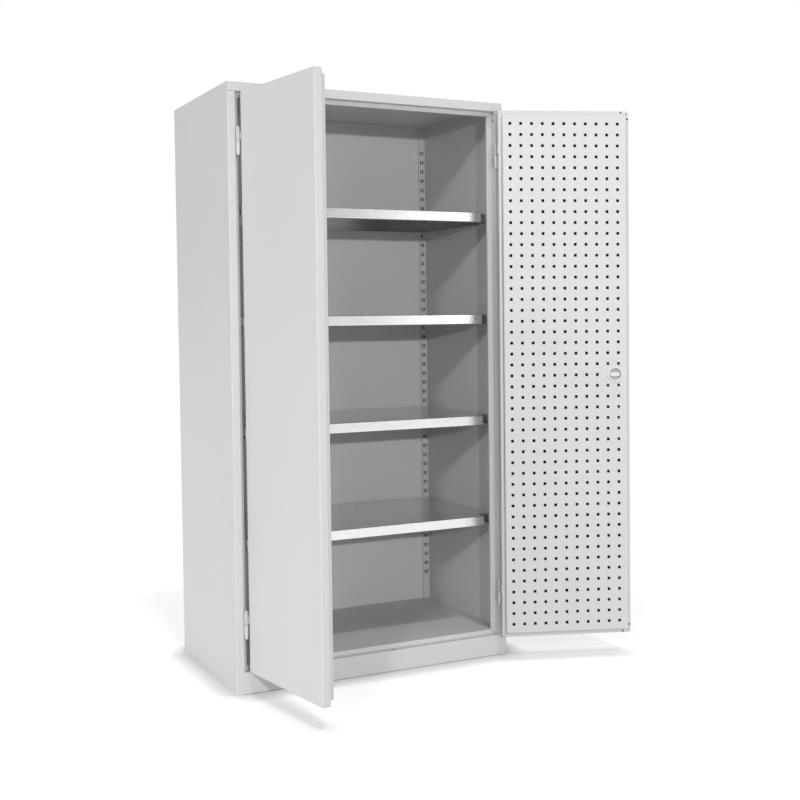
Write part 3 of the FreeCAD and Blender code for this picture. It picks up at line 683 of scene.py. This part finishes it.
# A darker copy of the galvanised steel: painted shade on the shelves' faces underneath and behind.
finish(
    "galvanised_painted_shade", {"Color": grey(0.34), "Spread": 0.03, "Scale": 5.0},
    {"Scale": 500.0, "Roughness": 0.24, "Roughness_Spread": 0.1}, bump=0.03, metallic=1.0,
    factors=[("rolled_streaks", {"Scale": 40.0, "Strength": 0.18})])
finish(
    "bright_zinc", {"Color": grey(0.6), "Spread": 0.03, "Scale": 30.0},
    {"Scale": 1500.0, "Roughness": 0.5, "Roughness_Spread": 0.1}, bump=0.04, metallic=0.4)
finish(
    "zinc_plated_steel", {"Color": grey(0.66), "Spread": 0.06, "Scale": 20.0},
    {"Scale": 800.0, "Roughness": 0.45, "Roughness_Spread": 0.15}, bump=0.06, metallic=0.45,
    factors=[("rolled_streaks", {"Scale": 90.0, "Strength": 0.1})])
finish(
    "grey_plastic", {"Color": grey(0.64), "Spread": 0.015, "Scale": 12.0},
    {"Scale": 2200.0, "Roughness": 0.38, "Roughness_Spread": 0.08}, bump=0.08)
# A darker copy of the grey plastic: painted shade in the rosette's cup.
finish(
    "grey_plastic_painted_shade", {"Color": grey(0.46), "Spread": 0.015, "Scale": 12.0},
    {"Scale": 2200.0, "Roughness": 0.5, "Roughness_Spread": 0.08}, bump=0.08)
finish(
    "black_plastic", {"Color": grey(0.022), "Spread": 0.12, "Scale": 15.0},
    {"Scale": 2500.0, "Roughness": 0.46, "Roughness_Spread": 0.1}, bump=0.15)
# A near-black finish that is painted shade: in the hollows of the jambs and doors, and on the floor under
# the cabinet.
finish(
    "painted_shade_dark", {"Color": grey(0.03), "Spread": 0.1, "Scale": 12.0},
    {"Scale": 900.0, "Roughness": 0.6, "Roughness_Spread": 0.1}, bump=0.05)
finish(
    "key_plug_metal", {"Color": grey(0.74), "Spread": 0.05, "Scale": 60.0},
    {"Scale": 3000.0, "Roughness": 0.22, "Roughness_Spread": 0.1}, bump=0.03, metallic=1.0)

for subpart in frame["record"]["subparts"]:
    for slot in nodes[subpart["node"]].material_slots:
        slot.material = finishes[subpart["material_slot"]]
# The back panel takes the lighter paint with its painted shade strips.
nodes["back_panel"].material_slots[0].material = finishes["back_paint_painted_light_and_shade"]


# Carcass

def near_rod(x, y, room):
    """Whether a point is in the room that a lock rod needs."""
    return abs(x - ROD_X) < room and abs(y - ROD_Y) < room


def side_sheet():
    """A side with its rear flange, stile and jamb, cut away above for the rail; painted shade within the
    jamb.
    """
    def notch(x, y, z):
        return z > RAIL and y < REBATE + NEAR and (x < WALL or y < FRONT + FOLD)
    path = [
        (SIDE - REAR_FLANGE, BACK), (SIDE, BACK), (SIDE, REBATE_BACK), (SIDE, FRONT), (JAMB, FRONT),
        (JAMB, REBATE)]
    bm = sheet(path, FOLD, BODY_SHEET, -1, "z", [0, RAIL, CEILING], notch)
    # Only the inner faces within the jamb keep the painted shade; the rest go back to the paint.
    for face in bm.faces:
        if middle(face.verts).y > REBATE_BACK - BODY_SHEET:
            face.material_index = 0
    return bm


def jamb_hole():
    """A cutter for the round hole high up in a jamb."""
    return round_bar(
        JAMB_HOLE_RADIUS, JAMB - 2 * BODY_SHEET, JAMB + 2 * BODY_SHEET, JAMB_HOLE, "x", SMALL_HOLE_STEPS)


def side_lip():
    """A jamb's rebate lip and its return, mitred at both ends."""
    def low(x, y):
        return PLINTH + SEAM + (JAMB - x) / MITRE

    def high(x, y):
        return RAIL - SEAM - (JAMB - x) / MITRE
    return sheet(
        [(JAMB, REBATE), (LIP_EDGE, REBATE), (LIP_EDGE, REBATE_BACK)],
        FOLD, BODY_SHEET, -1, "z", [low, high])


def top_lip():
    """The rail's rebate lip and its return, mitred to the jambs' lips."""
    def end(y, z):
        return JAMB - SEAM - (RAIL - z) * MITRE

    def start(y, z):
        return -end(y, z)
    drop = RAIL - LIP_HEIGHT
    return sheet(
        [(REBATE, RAIL), (REBATE, drop), (REBATE_BACK, drop)],
        FOLD, BODY_SHEET, 1, "x", [start, end])


def top_sheet():
    """The top with its rear flange, the front rail and the rail's underside with the lock's keep."""
    flange_end = SIDE - REAR_FLANGE

    def gone(x, y, z):
        past_wall = abs(x) > WALL and y > FRONT + FOLD and z < CEILING - FOLD
        past_flange = abs(x) > flange_end and y > BACK - FOLD / 2
        past_jamb = abs(x) > JAMB and z < RAIL + FOLD / 2
        return past_wall or past_flange or past_jamb or (z < RAIL + NEAR and near_rod(x, y, KEEP_ROOM))
    ends = [JAMB, flange_end, WALL, SIDE]
    levels = [-end for end in reversed(ends)] + [ROD_X - KEEP_ROOM, ROD_X + KEEP_ROOM] + ends
    return sheet(
        [(BACK, HEIGHT - REAR_FLANGE), (BACK, HEIGHT), (FRONT, HEIGHT), (FRONT, RAIL),
         (ROD_Y - KEEP_ROOM, RAIL), (ROD_Y + KEEP_ROOM, RAIL), (REBATE, RAIL)],
        FOLD, BODY_SHEET, 1, "x", levels, gone)


def floor_sheet():
    """The inner floor, with a rear flange and a front flange mitred into the rebate."""
    def edge(y, z):
        return JAMB - SEAM - (z - PLINTH) * MITRE if y < REBATE + FOLD else LIP_EDGE - SEAM

    def far_edge(y, z):
        return -edge(y, z)

    def gone(x, y, z):
        return abs(x) > LIP_EDGE and y < REBATE_BACK
    return sheet(
        [(BACK_PANEL, DECK - REAR_FLANGE), (BACK_PANEL, DECK), (REBATE_BACK, DECK), (REBATE, DECK),
         (REBATE, PLINTH)],
        FOLD, BODY_SHEET, 1, "x", [-WALL, far_edge, edge, WALL], gone)


def plinth_sheet():
    """The plinth with its foot flange, and the sill on top with the lock's keep; its front closes the
    grooves of the jambs' folds."""
    end = JAMB - SEAM
    flush_end = JAMB + FOLD

    def gone(x, y, z):
        in_groove = y < FRONT + NEAR and FOLD < z < PLINTH - FOLD
        return (abs(x) > end and not in_groove) or (z > PLINTH - NEAR and near_rod(x, y, KEEP_ROOM))
    return sheet(
        [(FRONT + PLINTH_FOOT, 0), (FRONT, 0), (FRONT, PLINTH), (ROD_Y - KEEP_ROOM, PLINTH),
         (ROD_Y + KEEP_ROOM, PLINTH), (REBATE + BODY_SHEET, PLINTH)],
        FOLD, BODY_SHEET, -1, "x",
        [-flush_end, -end, ROD_X - KEEP_ROOM, ROD_X + KEEP_ROOM, end, flush_end], gone)


def slot_edges(insets):
    """Where an upright's slots begin and end across it, from the wall inwards."""
    half = SLOT_WIDTH / 2
    return [WALL - inset + shift for inset in insets for shift in (half, -half)]


def ladder(points, side, insets):
    """An upright with slots all the way up its face."""
    rows = [SLOT_FIRST_ROW + row * SLOT_PITCH for row in range(SLOT_ROWS)]
    half = SLOT_HEIGHT / 2

    def slot(x, y, z):
        in_row = any(abs(z - row) < half for row in rows)
        return in_row and any(abs(WALL - inset - x) < SLOT_WIDTH / 2 for inset in insets)
    levels = [DECK] + [row + shift for row in rows for shift in (-half, half)] + [CEILING]
    return sheet(points, UPRIGHT_FOLD, BODY_SHEET, side, "z", levels, slot)


def rear_ladder():
    """A channel against the back, with pairs of slots."""
    inner = WALL - REAR_UPRIGHT_WIDTH
    face = [(x, REAR_UPRIGHT) for x in slot_edges(SLOT_INSETS)]
    path = [(WALL, BACK_PANEL), (WALL, REAR_UPRIGHT)] + face + [(inner, REAR_UPRIGHT), (inner, BACK_PANEL)]
    return ladder(path, -1, SLOT_INSETS)


def front_ladder():
    """An angle behind the jamb, with single slots."""
    insets = SLOT_INSETS[:1]
    face = [(x, FRONT_UPRIGHT) for x in slot_edges(insets)]
    path = [(WALL, FRONT_UPRIGHT - FRONT_UPRIGHT_LEG), (WALL, FRONT_UPRIGHT)] + face
    return ladder(path + [(WALL - FRONT_UPRIGHT_WIDTH, FRONT_UPRIGHT)], 1, insets)


def shelf_tray(row):
    """A folded tray: hemmed front edge, notched front corners, and flanges at the rear and the sides."""
    low = SLOT_FIRST_ROW + row * SLOT_PITCH + SHELF_RISE
    top = low + SHELF_HEIGHT
    side = WALL - SHELF_SIDE_GAP
    front = FRONT + SHELF_SETBACK
    rear = REAR_UPRIGHT - SHELF_REAR_GAP
    end = side - SHELF_NOTCH_WIDTH
    back_of_notch = front + SHELF_NOTCH_DEPTH
    hem = front + SHELF_HEM
    front_edge = sheet(
        [(back_of_notch + SHELF_FOLD, top), (front, top), (front, low), (hem, low),
         (hem, low + SHELF_HEM_UPTURN)],
        SHELF_FOLD, SHELF_SHEET, 1, "x", [-end, end])
    tray = sheet(
        [(-side, low), (-side, top), (side, top), (side, low)],
        SHELF_FOLD, SHELF_SHEET, -1, "y", [back_of_notch + SHELF_FOLD, rear - SHELF_FOLD])
    rear_edge = sheet(
        [(rear - SHELF_FOLD, top), (rear, top), (rear, low)],
        SHELF_FOLD, SHELF_SHEET, -1, "x", [-side + SHELF_FOLD, side - SHELF_FOLD])
    notch_edges = [
        sheet([(back_of_notch + SHELF_FOLD, top), (back_of_notch, top), (back_of_notch, low)],
              SHELF_FOLD, SHELF_SHEET, 1, "x", ends)
        for ends in ([-side + SHELF_FOLD, -end], [end, side - SHELF_FOLD])]
    return together([front_edge, tray, rear_edge] + notch_edges)


def make_carcass():
    """The fixed sheets of both sides, those that go across, and the shelves."""
    for hand, move in STANDING.items():
        # The jambs' hollows get the near-black painted shade.
        side = finished(
            side_sheet(), f"{hand}_side_sheet", "grey_paint", "carcass", [f"{hand}_side_panel"], move,
            "painted_shade_dark")
        drill(side, jamb_hole(), move)
        for bm, name, replaced in (
                (side_lip(), "rebate_lip", "rebate_angle"), (rear_ladder(), "rear_ladder", "rear_upright"),
                (front_ladder(), "front_ladder", "front_upright")):
            finished(bm, f"{hand}_{name}", "grey_paint", "carcass", [f"{hand}_{replaced}"], move)
    finished(top_lip(), "top_rebate_lip", "grey_paint", "carcass", ["top_rebate_angle"])
    finished(top_sheet(), "top_sheet", "grey_paint", "carcass", ["top_panel"])
    finished(floor_sheet(), "floor_sheet", "grey_paint", "carcass", ["floor_panel"])
    finished(plinth_sheet(), "plinth_sheet", "grey_paint", "carcass", ["plinth_front"])
    for number, row in enumerate(SHELF_ROWS, 1):
        # The trays' faces underneath and behind take the darker zinc as painted shade.
        finished(
            shelf_tray(row), f"shelf_tray_{number}", "galvanised_steel", "carcass", [f"shelf_{number}"],
            painted_shade_finish="galvanised_painted_shade")


# Doors and hinges

def hinge_half(joint, direction, leaf_x):
    """Half of a lift-off hinge, above or below its joint: a tapered, bored barrel and a leaf."""
    face = joint + direction * HINGE_JOINT_GAP
    shoulder = joint + direction * (HINGE_HALF - HINGE_TAPER)
    tip = joint + direction * HINGE_HALF
    bore_end = joint + direction * PIN_REACH
    profile = [
        (PIN_BORE, face), (HINGE_RADIUS - HINGE_EASE, face),
        (HINGE_RADIUS, face + direction * HINGE_EASE), (HINGE_RADIUS, shoulder),
        (HINGE_TIP_RADIUS, tip - direction * HINGE_TIP_EASE), (HINGE_TIP_FLAT, tip), (0, tip),
        (0, bore_end), (PIN_BORE, bore_end)]
    barrel = lathe(profile, (HINGE_X, HINGE_Y), "z")
    low, high = sorted((joint + direction * HINGE_LEAF_MARGIN, shoulder - direction * HINGE_LEAF_MARGIN))
    root = HINGE_Y + (PIN_BORE + HINGE_RADIUS) / 2
    end = FRONT + HINGE_LEAF_DEPTH
    outline = [(root, low), (end, low), (end, high), (root, high)]
    leaf = rounded(outline, "x", leaf_x, leaf_x + HINGE_LEAF, HINGE_LEAF_EDGE)
    return together([barrel, leaf])


def hinge_halves(direction, leaf_x):
    """The upper or lower halves of both hinges of a door."""
    return together([hinge_half(z, direction, leaf_x) for z in HINGE_HEIGHTS])


def outer_pan(locking):
    """A door's outer skin and walls, and the mitred rim behind them, narrow at the free edge."""
    inset = PAN_CORNER
    slit = RIM_SLIT / math.sqrt(2)
    x0, x1 = DOOR_FREE_EDGE + inset, DOOR_HINGE_EDGE - inset
    z0, z1 = DOOR_BOTTOM + inset, DOOR_TOP - inset
    xs = [x0, x0 + slit, ROD_X - ROD_ROOM, ROD_X + ROD_ROOM, x1 - slit, x1]
    zs = [z0, z0 + slit, z1 - slit, z1]
    wall = [(inset, FRONT), (inset, ROD_Y - ROD_ROOM), (inset, ROD_Y + ROD_ROOM), (inset, RIM)]

    def rod_hole(x, y, z):
        return locking and near_rod(x, y, ROD_ROOM) and not z0 < z < z1
    bm = pan(xs, zs, [(0, FRONT)] + wall + [(0, RIM)], PAN_FOLD, DOOR_SHEET, FRONT, 1, rod_hole)
    across, up = xs[1:-1], zs[1:-1]
    strips = (
        ([(x, z0) for x in across], (0, 1), RIM_WIDTH), ([(x, z1) for x in across], (0, -1), RIM_WIDTH),
        ([(x1, z) for z in up], (-1, 0), RIM_WIDTH), ([(x0, z) for z in up], (1, 0), FREE_RIM_WIDTH))
    for spots, inwards, width in strips:
        rim_strip(bm, spots, inwards, width - inset)
    return thicken(bm)


def rim_strip(bm, spots, inwards, reach):
    """One side of a door's rim, from spots along the wall inwards, with mitred ends."""
    behind = Vector((0, -DOOR_SHEET, 0))
    to_x, to_z = inwards
    outer = [point(bm, Vector((x, RIM, z)), behind) for x, z in spots]
    inner = []
    for k, (x, z) in enumerate(spots):
        mitre = reach if k == 0 else -reach if k == len(spots) - 1 else 0
        x += to_x * reach + (mitre if to_z else 0)
        z += to_z * reach + (mitre if to_x else 0)
        inner.append(point(bm, Vector((x, RIM, z)), behind))
    patch(bm, [outer, inner], nowhere)


def rim_holes():
    """Cutters for the small round holes in a door's rim, two at each corner of the free edge."""
    low, high = RIM - 2 * DOOR_SHEET, RIM + 2 * DOOR_SHEET
    along, inset = RIM_HOLE_FROM_CORNER, RIM_HOLE_INSET
    places = [
        (DOOR_FREE_EDGE + x, end + way * z)
        for end, way in ((DOOR_BOTTOM, 1), (DOOR_TOP, -1)) for x, z in ((along, inset), (inset, along))]
    return [round_bar(RIM_HOLE_RADIUS, low, high, place, "y", SMALL_HOLE_STEPS) for place in places]


def hole_lines(centres):
    """Where square holes begin and end, along a row of their centres."""
    return [centre + shift for centre in centres for shift in (-HOLE_SIZE / 2, HOLE_SIZE / 2)]


def inner_pan(locking):
    """A door's raised inner pan with its square holes and, on the locking door, one for the lock's cup."""
    x0 = DOOR_FREE_EDGE + INNER_SIDE_INSET + INNER_FOLD
    x1 = DOOR_HINGE_EDGE - INNER_SIDE_INSET - INNER_FOLD
    z0 = DOOR_BOTTOM + INNER_END_INSET + INNER_FOLD
    z1 = DOOR_TOP - INNER_END_INSET - INNER_FOLD
    columns = [DOOR_HINGE_EDGE - HOLE_HINGE_MARGIN - k * HOLE_PITCH for k in range(HOLE_COLUMNS)]
    rows = [LOCK_Z + (k - (HOLE_ROWS - 1) / 2) * HOLE_PITCH for k in range(HOLE_ROWS)]
    window = ROSETTE_RADIUS - ROSETTE_COVER
    around = [-window, window] if locking else []
    xs = sorted([x0, x1] + hole_lines(columns) + [LOCK_X + shift for shift in around])
    zs = sorted([z0, z1] + hole_lines(rows) + [LOCK_Z + shift for shift in around])

    def gone(x, y, z):
        if y < INNER_FACE - NEAR:
            return False
        if locking and max(abs(x - LOCK_X), abs(z - LOCK_Z)) < window:
            return True
        column = min(columns, key=lambda centre: abs(centre - x))
        row = min(rows, key=lambda centre: abs(centre - z))
        covered = locking and math.hypot(column - LOCK_X, row - LOCK_Z) < ROSETTE_RADIUS + HOLE_SIZE
        return not covered and abs(x - column) < HOLE_SIZE / 2 and abs(z - row) < HOLE_SIZE / 2
    profile = [(INNER_FOLD, RIM), (INNER_FOLD, INNER_FACE), (0, INNER_FACE)]
    bm = pan(xs, zs, profile, INNER_FOLD, DOOR_SHEET, INNER_FACE, -1, gone)
    if locking:
        lock_window(bm, xs, zs, window)
    return thicken(bm)


def lock_window(bm, xs, zs, window):
    """The face between the grid and the round hole that the rosette's cup goes through."""
    across = [x for x in xs if abs(x - LOCK_X) <= window]
    up = [z for z in zs if abs(z - LOCK_Z) <= window]
    square = (
        [(x, up[0]) for x in across[:-1]] + [(across[-1], z) for z in up[:-1]]
        + [(x, up[-1]) for x in reversed(across[1:])] + [(across[0], z) for z in reversed(up[1:])])
    hole = (CUP_RADIUS + ROSETTE_RADIUS) / 2
    behind = Vector((0, -DOOR_SHEET, 0))
    edge = []
    ring = []
    for x, z in square + square[:1]:
        way = Vector((x - LOCK_X, 0, z - LOCK_Z)).normalized()
        edge.append(point(bm, Vector((x, INNER_FACE, z)), behind))
        ring.append(point(bm, Vector((LOCK_X, INNER_FACE, LOCK_Z)) + way * hole, behind))
    patch(bm, [edge, ring], nowhere)


def make_doors():
    """Each door's pans, and its hinges' halves on the door and on the frame."""
    for hand, move in SWUNG.items():
        locking = hand == "right"
        body = f"{hand}_door"
        # The doors' skins and perforated pans get the near-black painted shade in their hollows.
        skin = finished(
            outer_pan(locking), f"{hand}_door_skin", "grey_paint", body, [f"{hand}_door_outer_pan"], move,
            "painted_shade_dark")
        for hole in rim_holes():
            drill(skin, hole, move)
        finished(
            inner_pan(locking), f"{hand}_perforated_pan", "grey_paint", body,
            [f"{hand}_door_inner_pan"], move, "painted_shade_dark")
        upper = finished(
            hinge_halves(1, DOOR_HINGE_EDGE), f"{hand}_upper_hinge_barrels", "grey_paint", body,
            [f"{hand}_door_hinge_halves"], move)
        # The door's hinge halves take the darker paint as painted shade.
        upper.material_slots[0].material = finishes["hinge_paint_painted_shade"]
        finished(
            hinge_halves(-1, JAMB - HINGE_LEAF), f"{hand}_lower_hinge_barrels", "bright_zinc", "carcass",
            [f"{hand}_frame_hinge_halves"], STANDING[hand])


# Lock

def rosette():
    """A soft-edged ring on the inner pan, dished into a cup whose hollow is painted darker as shade."""
    face = INNER_FACE + ROSETTE_RISE
    back = CUP_FLOOR - CUP_WALL
    bore = TURN_HUB_RADIUS + TURN_HUB_ROOM
    profile = [(bore, back), (CUP_RADIUS, back), (CUP_RADIUS, INNER_FACE), (ROSETTE_RADIUS, INNER_FACE)]
    profile += soft_edge(ROSETTE_RIM, ROSETTE_RADIUS, face, 1)
    profile += soft_edge(CUP_MOUTH, CUP_RADIUS, face, 1)
    profile += soft_edge(CUP_FOOT, CUP_RADIUS - CUP_WALL, CUP_FLOOR, -1)
    profile.append((bore, CUP_FLOOR))
    bm = lathe(profile, LOCK, "y", FINE_ROUND_STEPS)
    # Faces within the cup take the darker plastic: painted shade in the recess.
    for facet in bm.faces:
        x, _, z = middle(facet.verts)
        facet.material_index = int(math.hypot(x - LOCK_X, z - LOCK_Z) < CUP_PAINTED_SHADE_RADIUS)
    return bm


def turn_bar():
    """The rounded bar across the cup, on its hub."""
    length, width, depth = TURN_BAR
    back = CUP_FLOOR + HANDLE_GAP
    outline = oblong(LOCK_X, LOCK_Z, length, width, TURN_BAR_CORNER)
    bar = rounded(outline, "y", back, back + depth, TURN_BAR_EDGE, steps=4)
    hub = round_bar(TURN_HUB_RADIUS, CUP_FLOOR - CUP_WALL, back + depth / 2, LOCK, "y")
    return together([bar, hub])


def escutcheon():
    """A round plate with a soft rim, behind the outer handle."""
    profile = [(ESCUTCHEON_BORE, FRONT), (ESCUTCHEON_RADIUS, FRONT)]
    profile += soft_edge(ESCUTCHEON_RIM, ESCUTCHEON_RADIUS, ESCUTCHEON_FACE, -1)
    profile.append((ESCUTCHEON_BORE, ESCUTCHEON_FACE))
    return lathe(profile, LOCK, "y", FINE_ROUND_STEPS)


def handle():
    """A rounded grip on a flared hub."""
    length, width, _ = GRIP
    outline = oblong(LOCK_X, LOCK_Z, length, width, GRIP_CORNER)
    grip = rounded(outline, "y", GRIP_FACE, GRIP_BACK, GRIP_EDGE, steps=5)
    sunk = GRIP_BACK - HUB_SUNK
    profile = [(0, HANDLE_BACK)]
    profile += soft_edge(HUB_FLARE, HUB_RADIUS, HANDLE_BACK, 1)
    profile += [(HUB_NECK_RADIUS, GRIP_BACK), (HUB_NECK_RADIUS, sunk), (0, sunk)]
    return together([grip, lathe(profile, LOCK, "y")])


def make_lock():
    """The lock's pieces on both faces of the right door, the handle bored for its key plug."""
    move = SWUNG["right"]
    finished(
        rosette(), "rosette_ring", "grey_plastic", "right_door", ["inner_rosette"], move,
        "grey_plastic_painted_shade")
    finished(turn_bar(), "rosette_turn_bar", "grey_plastic", "lock_handle", ["inner_turn_bar"], move)
    finished(escutcheon(), "handle_rose", "grey_plastic", "right_door", ["outer_escutcheon"], move)
    grip = finished(handle(), "handle_grip", "black_plastic", "lock_handle", ["outer_handle"], move)
    bore = round_bar(PLUG_BORE, GRIP_FACE - PLUG_OVERCUT, GRIP_FACE + PLUG_LENGTH, LOCK, "y")
    drill(grip, bore, move)


make_carcass()
make_doors()
make_lock()


# Floor, light and camera, in metres

FLOOR_REACH = 60.0
FLOOR_TONE = 0.6
FLOOR_ROUGHNESS = 0.9
# The painted contact shadow: how far it reaches and how sharply it fades the floor's glow
PAINTED_SHADOW_REACH = 0.1
PAINTED_SHADOW_POWER = 3.0
CAMERA_PLACE = (-1.7146, -4.0116, 1.19927)
CAMERA_YAW = math.radians(27.62)
CAMERA_PITCH = math.radians(-2.34)
CAMERA_ROLL = math.radians(-0.63)
CAMERA_REACH = 60.0
SENSOR_WIDTH = 36.0
LENS = 54.893
LENS_SHIFT = (-0.04455, -0.03969)


def make_floor(glow):
    """A white floor, painted near-black under the cabinet as shade. Where nothing stands close to it, it
    has a glow that is seen but lights no matt surface; near the cabinet the glow fades as a painted contact
    shadow."""
    corners = [(-1, -1), (1, -1), (1, 1), (-1, 1)]
    outer = [(x * FLOOR_REACH, y * FLOOR_REACH, 0) for x, y in corners]
    inner = [(x * SIDE * MM, y * BACK * MM, 0) for x, y in corners]
    ring = [(k, (k + 1) % 4, (k + 1) % 4 + 4, k + 4) for k in range(4)]
    mesh = bpy.data.meshes.new("studio_floor")
    mesh.from_pydata(outer + inner, [], ring + [(4, 5, 6, 7)])
    # The patch under the cabinet takes the near-black painted shade.
    mesh.polygons[4].material_index = 1
    floor = bpy.data.objects.new("studio_floor", mesh)
    scene.collection.objects.link(floor)
    material = bpy.data.materials.new("studio_floor")
    material.use_nodes = True
    tree = material.node_tree
    shader = tree.nodes["Principled BSDF"]
    shader.inputs["Base Color"].default_value = grey(FLOOR_TONE)
    shader.inputs["Roughness"].default_value = FLOOR_ROUGHNESS
    shader.inputs["Emission Color"].default_value = grey(1.0)
    path = node(tree, "ShaderNodeLightPath")
    # The glow fades with ambient occlusion, as a painted contact shadow.
    openness = node(tree, "ShaderNodeAmbientOcclusion", Distance=PAINTED_SHADOW_REACH)
    seen = maths(tree, "MULTIPLY_ADD", path.outputs["Is Diffuse Ray"], -glow, glow)
    painted_contact_shadow = maths(tree, "POWER", openness.outputs["AO"], PAINTED_SHADOW_POWER)
    glow_with_painted_shadow = maths(tree, "MULTIPLY", seen, painted_contact_shadow)
    tree.links.new(glow_with_painted_shadow, shader.inputs["Emission Strength"])
    mesh.materials.append(material)
    mesh.materials.append(finishes["painted_shade_dark"])


def make_light(name, place, target, size, power):
    """A square light at a place, turned towards a target."""
    data = bpy.data.lights.new(name, "AREA")
    data.shape = "SQUARE"
    data.size = size
    data.energy = power
    lamp = bpy.data.objects.new(name, data)
    lamp.location = place
    lamp.rotation_euler = (Vector(target) - Vector(place)).to_track_quat("-Z", "Y").to_euler()
    scene.collection.objects.link(lamp)


def make_sun(name, way, spread, strength):
    """A far light that shines one way and gives no glare, its shadows softened by its spread in degrees."""
    data = bpy.data.lights.new(name, "SUN")
    data.angle = math.radians(spread)
    data.energy = strength
    lamp = bpy.data.objects.new(name, data)
    lamp.rotation_euler = Vector(way).to_track_quat("-Z", "Y").to_euler()
    lamp.visible_glossy = False
    scene.collection.objects.link(lamp)


def make_world(light):
    """White surroundings, dimmer as a source of light than as a background."""
    world = bpy.data.worlds.new("studio")
    world.use_nodes = True
    scene.world = world
    tree = world.node_tree
    sky = tree.nodes["Background"]
    sky.inputs["Color"].default_value = grey(1.0)
    sky.inputs["Strength"].default_value = light
    backdrop = node(tree, "ShaderNodeBackground", Color=grey(1.0), Strength=1.0)
    path = node(tree, "ShaderNodeLightPath")
    mix = node(tree, "ShaderNodeMixShader")
    link = tree.links.new
    link(path.outputs["Is Camera Ray"], mix.inputs["Fac"])
    link(sky.outputs["Background"], mix.inputs[1])
    link(backdrop.outputs["Background"], mix.inputs[2])
    link(mix.outputs["Shader"], tree.nodes["World Output"].inputs["Surface"])


def make_camera():
    """The photograph's view."""
    flat = math.cos(CAMERA_PITCH)
    ahead = Vector((math.sin(CAMERA_YAW) * flat, math.cos(CAMERA_YAW) * flat, math.sin(CAMERA_PITCH)))
    level = Vector((math.cos(CAMERA_YAW), -math.sin(CAMERA_YAW), 0))
    above = level.cross(ahead)
    right = level * math.cos(CAMERA_ROLL) + above * math.sin(CAMERA_ROLL)
    up = above * math.cos(CAMERA_ROLL) - level * math.sin(CAMERA_ROLL)
    data = bpy.data.cameras.new("photo_view")
    data.sensor_width = SENSOR_WIDTH
    data.lens = LENS
    data.shift_x, data.shift_y = LENS_SHIFT
    data.clip_end = CAMERA_REACH
    camera = bpy.data.objects.new("photo_view", data)
    turn = Matrix((right, up, -ahead)).transposed().to_4x4()
    camera.matrix_world = Matrix.Translation(CAMERA_PLACE) @ turn
    scene.collection.objects.link(camera)
    scene.camera = camera


make_floor(glow=0.6)
make_world(light=0.34)
make_light("key", place=(-1.4, -6.6, 1.94), target=(0.1, 0.0, 0.95), size=0.12, power=142)
make_sun("left_front", way=(0.9, 1.0, -0.55), spread=5.0, strength=0.66)
make_sun("left", way=(1.0, 0.05, -0.4), spread=40.0, strength=1.3)
make_sun("overhead", way=(0.0, 1.0, -1.85), spread=5.0, strength=0.7)
make_light("right_panel", place=(3.6, -4.6, 2.1), target=(0.3, -0.2, 1.4), size=2.4, power=31)
make_camera()
scene.view_settings.view_transform = "Standard"
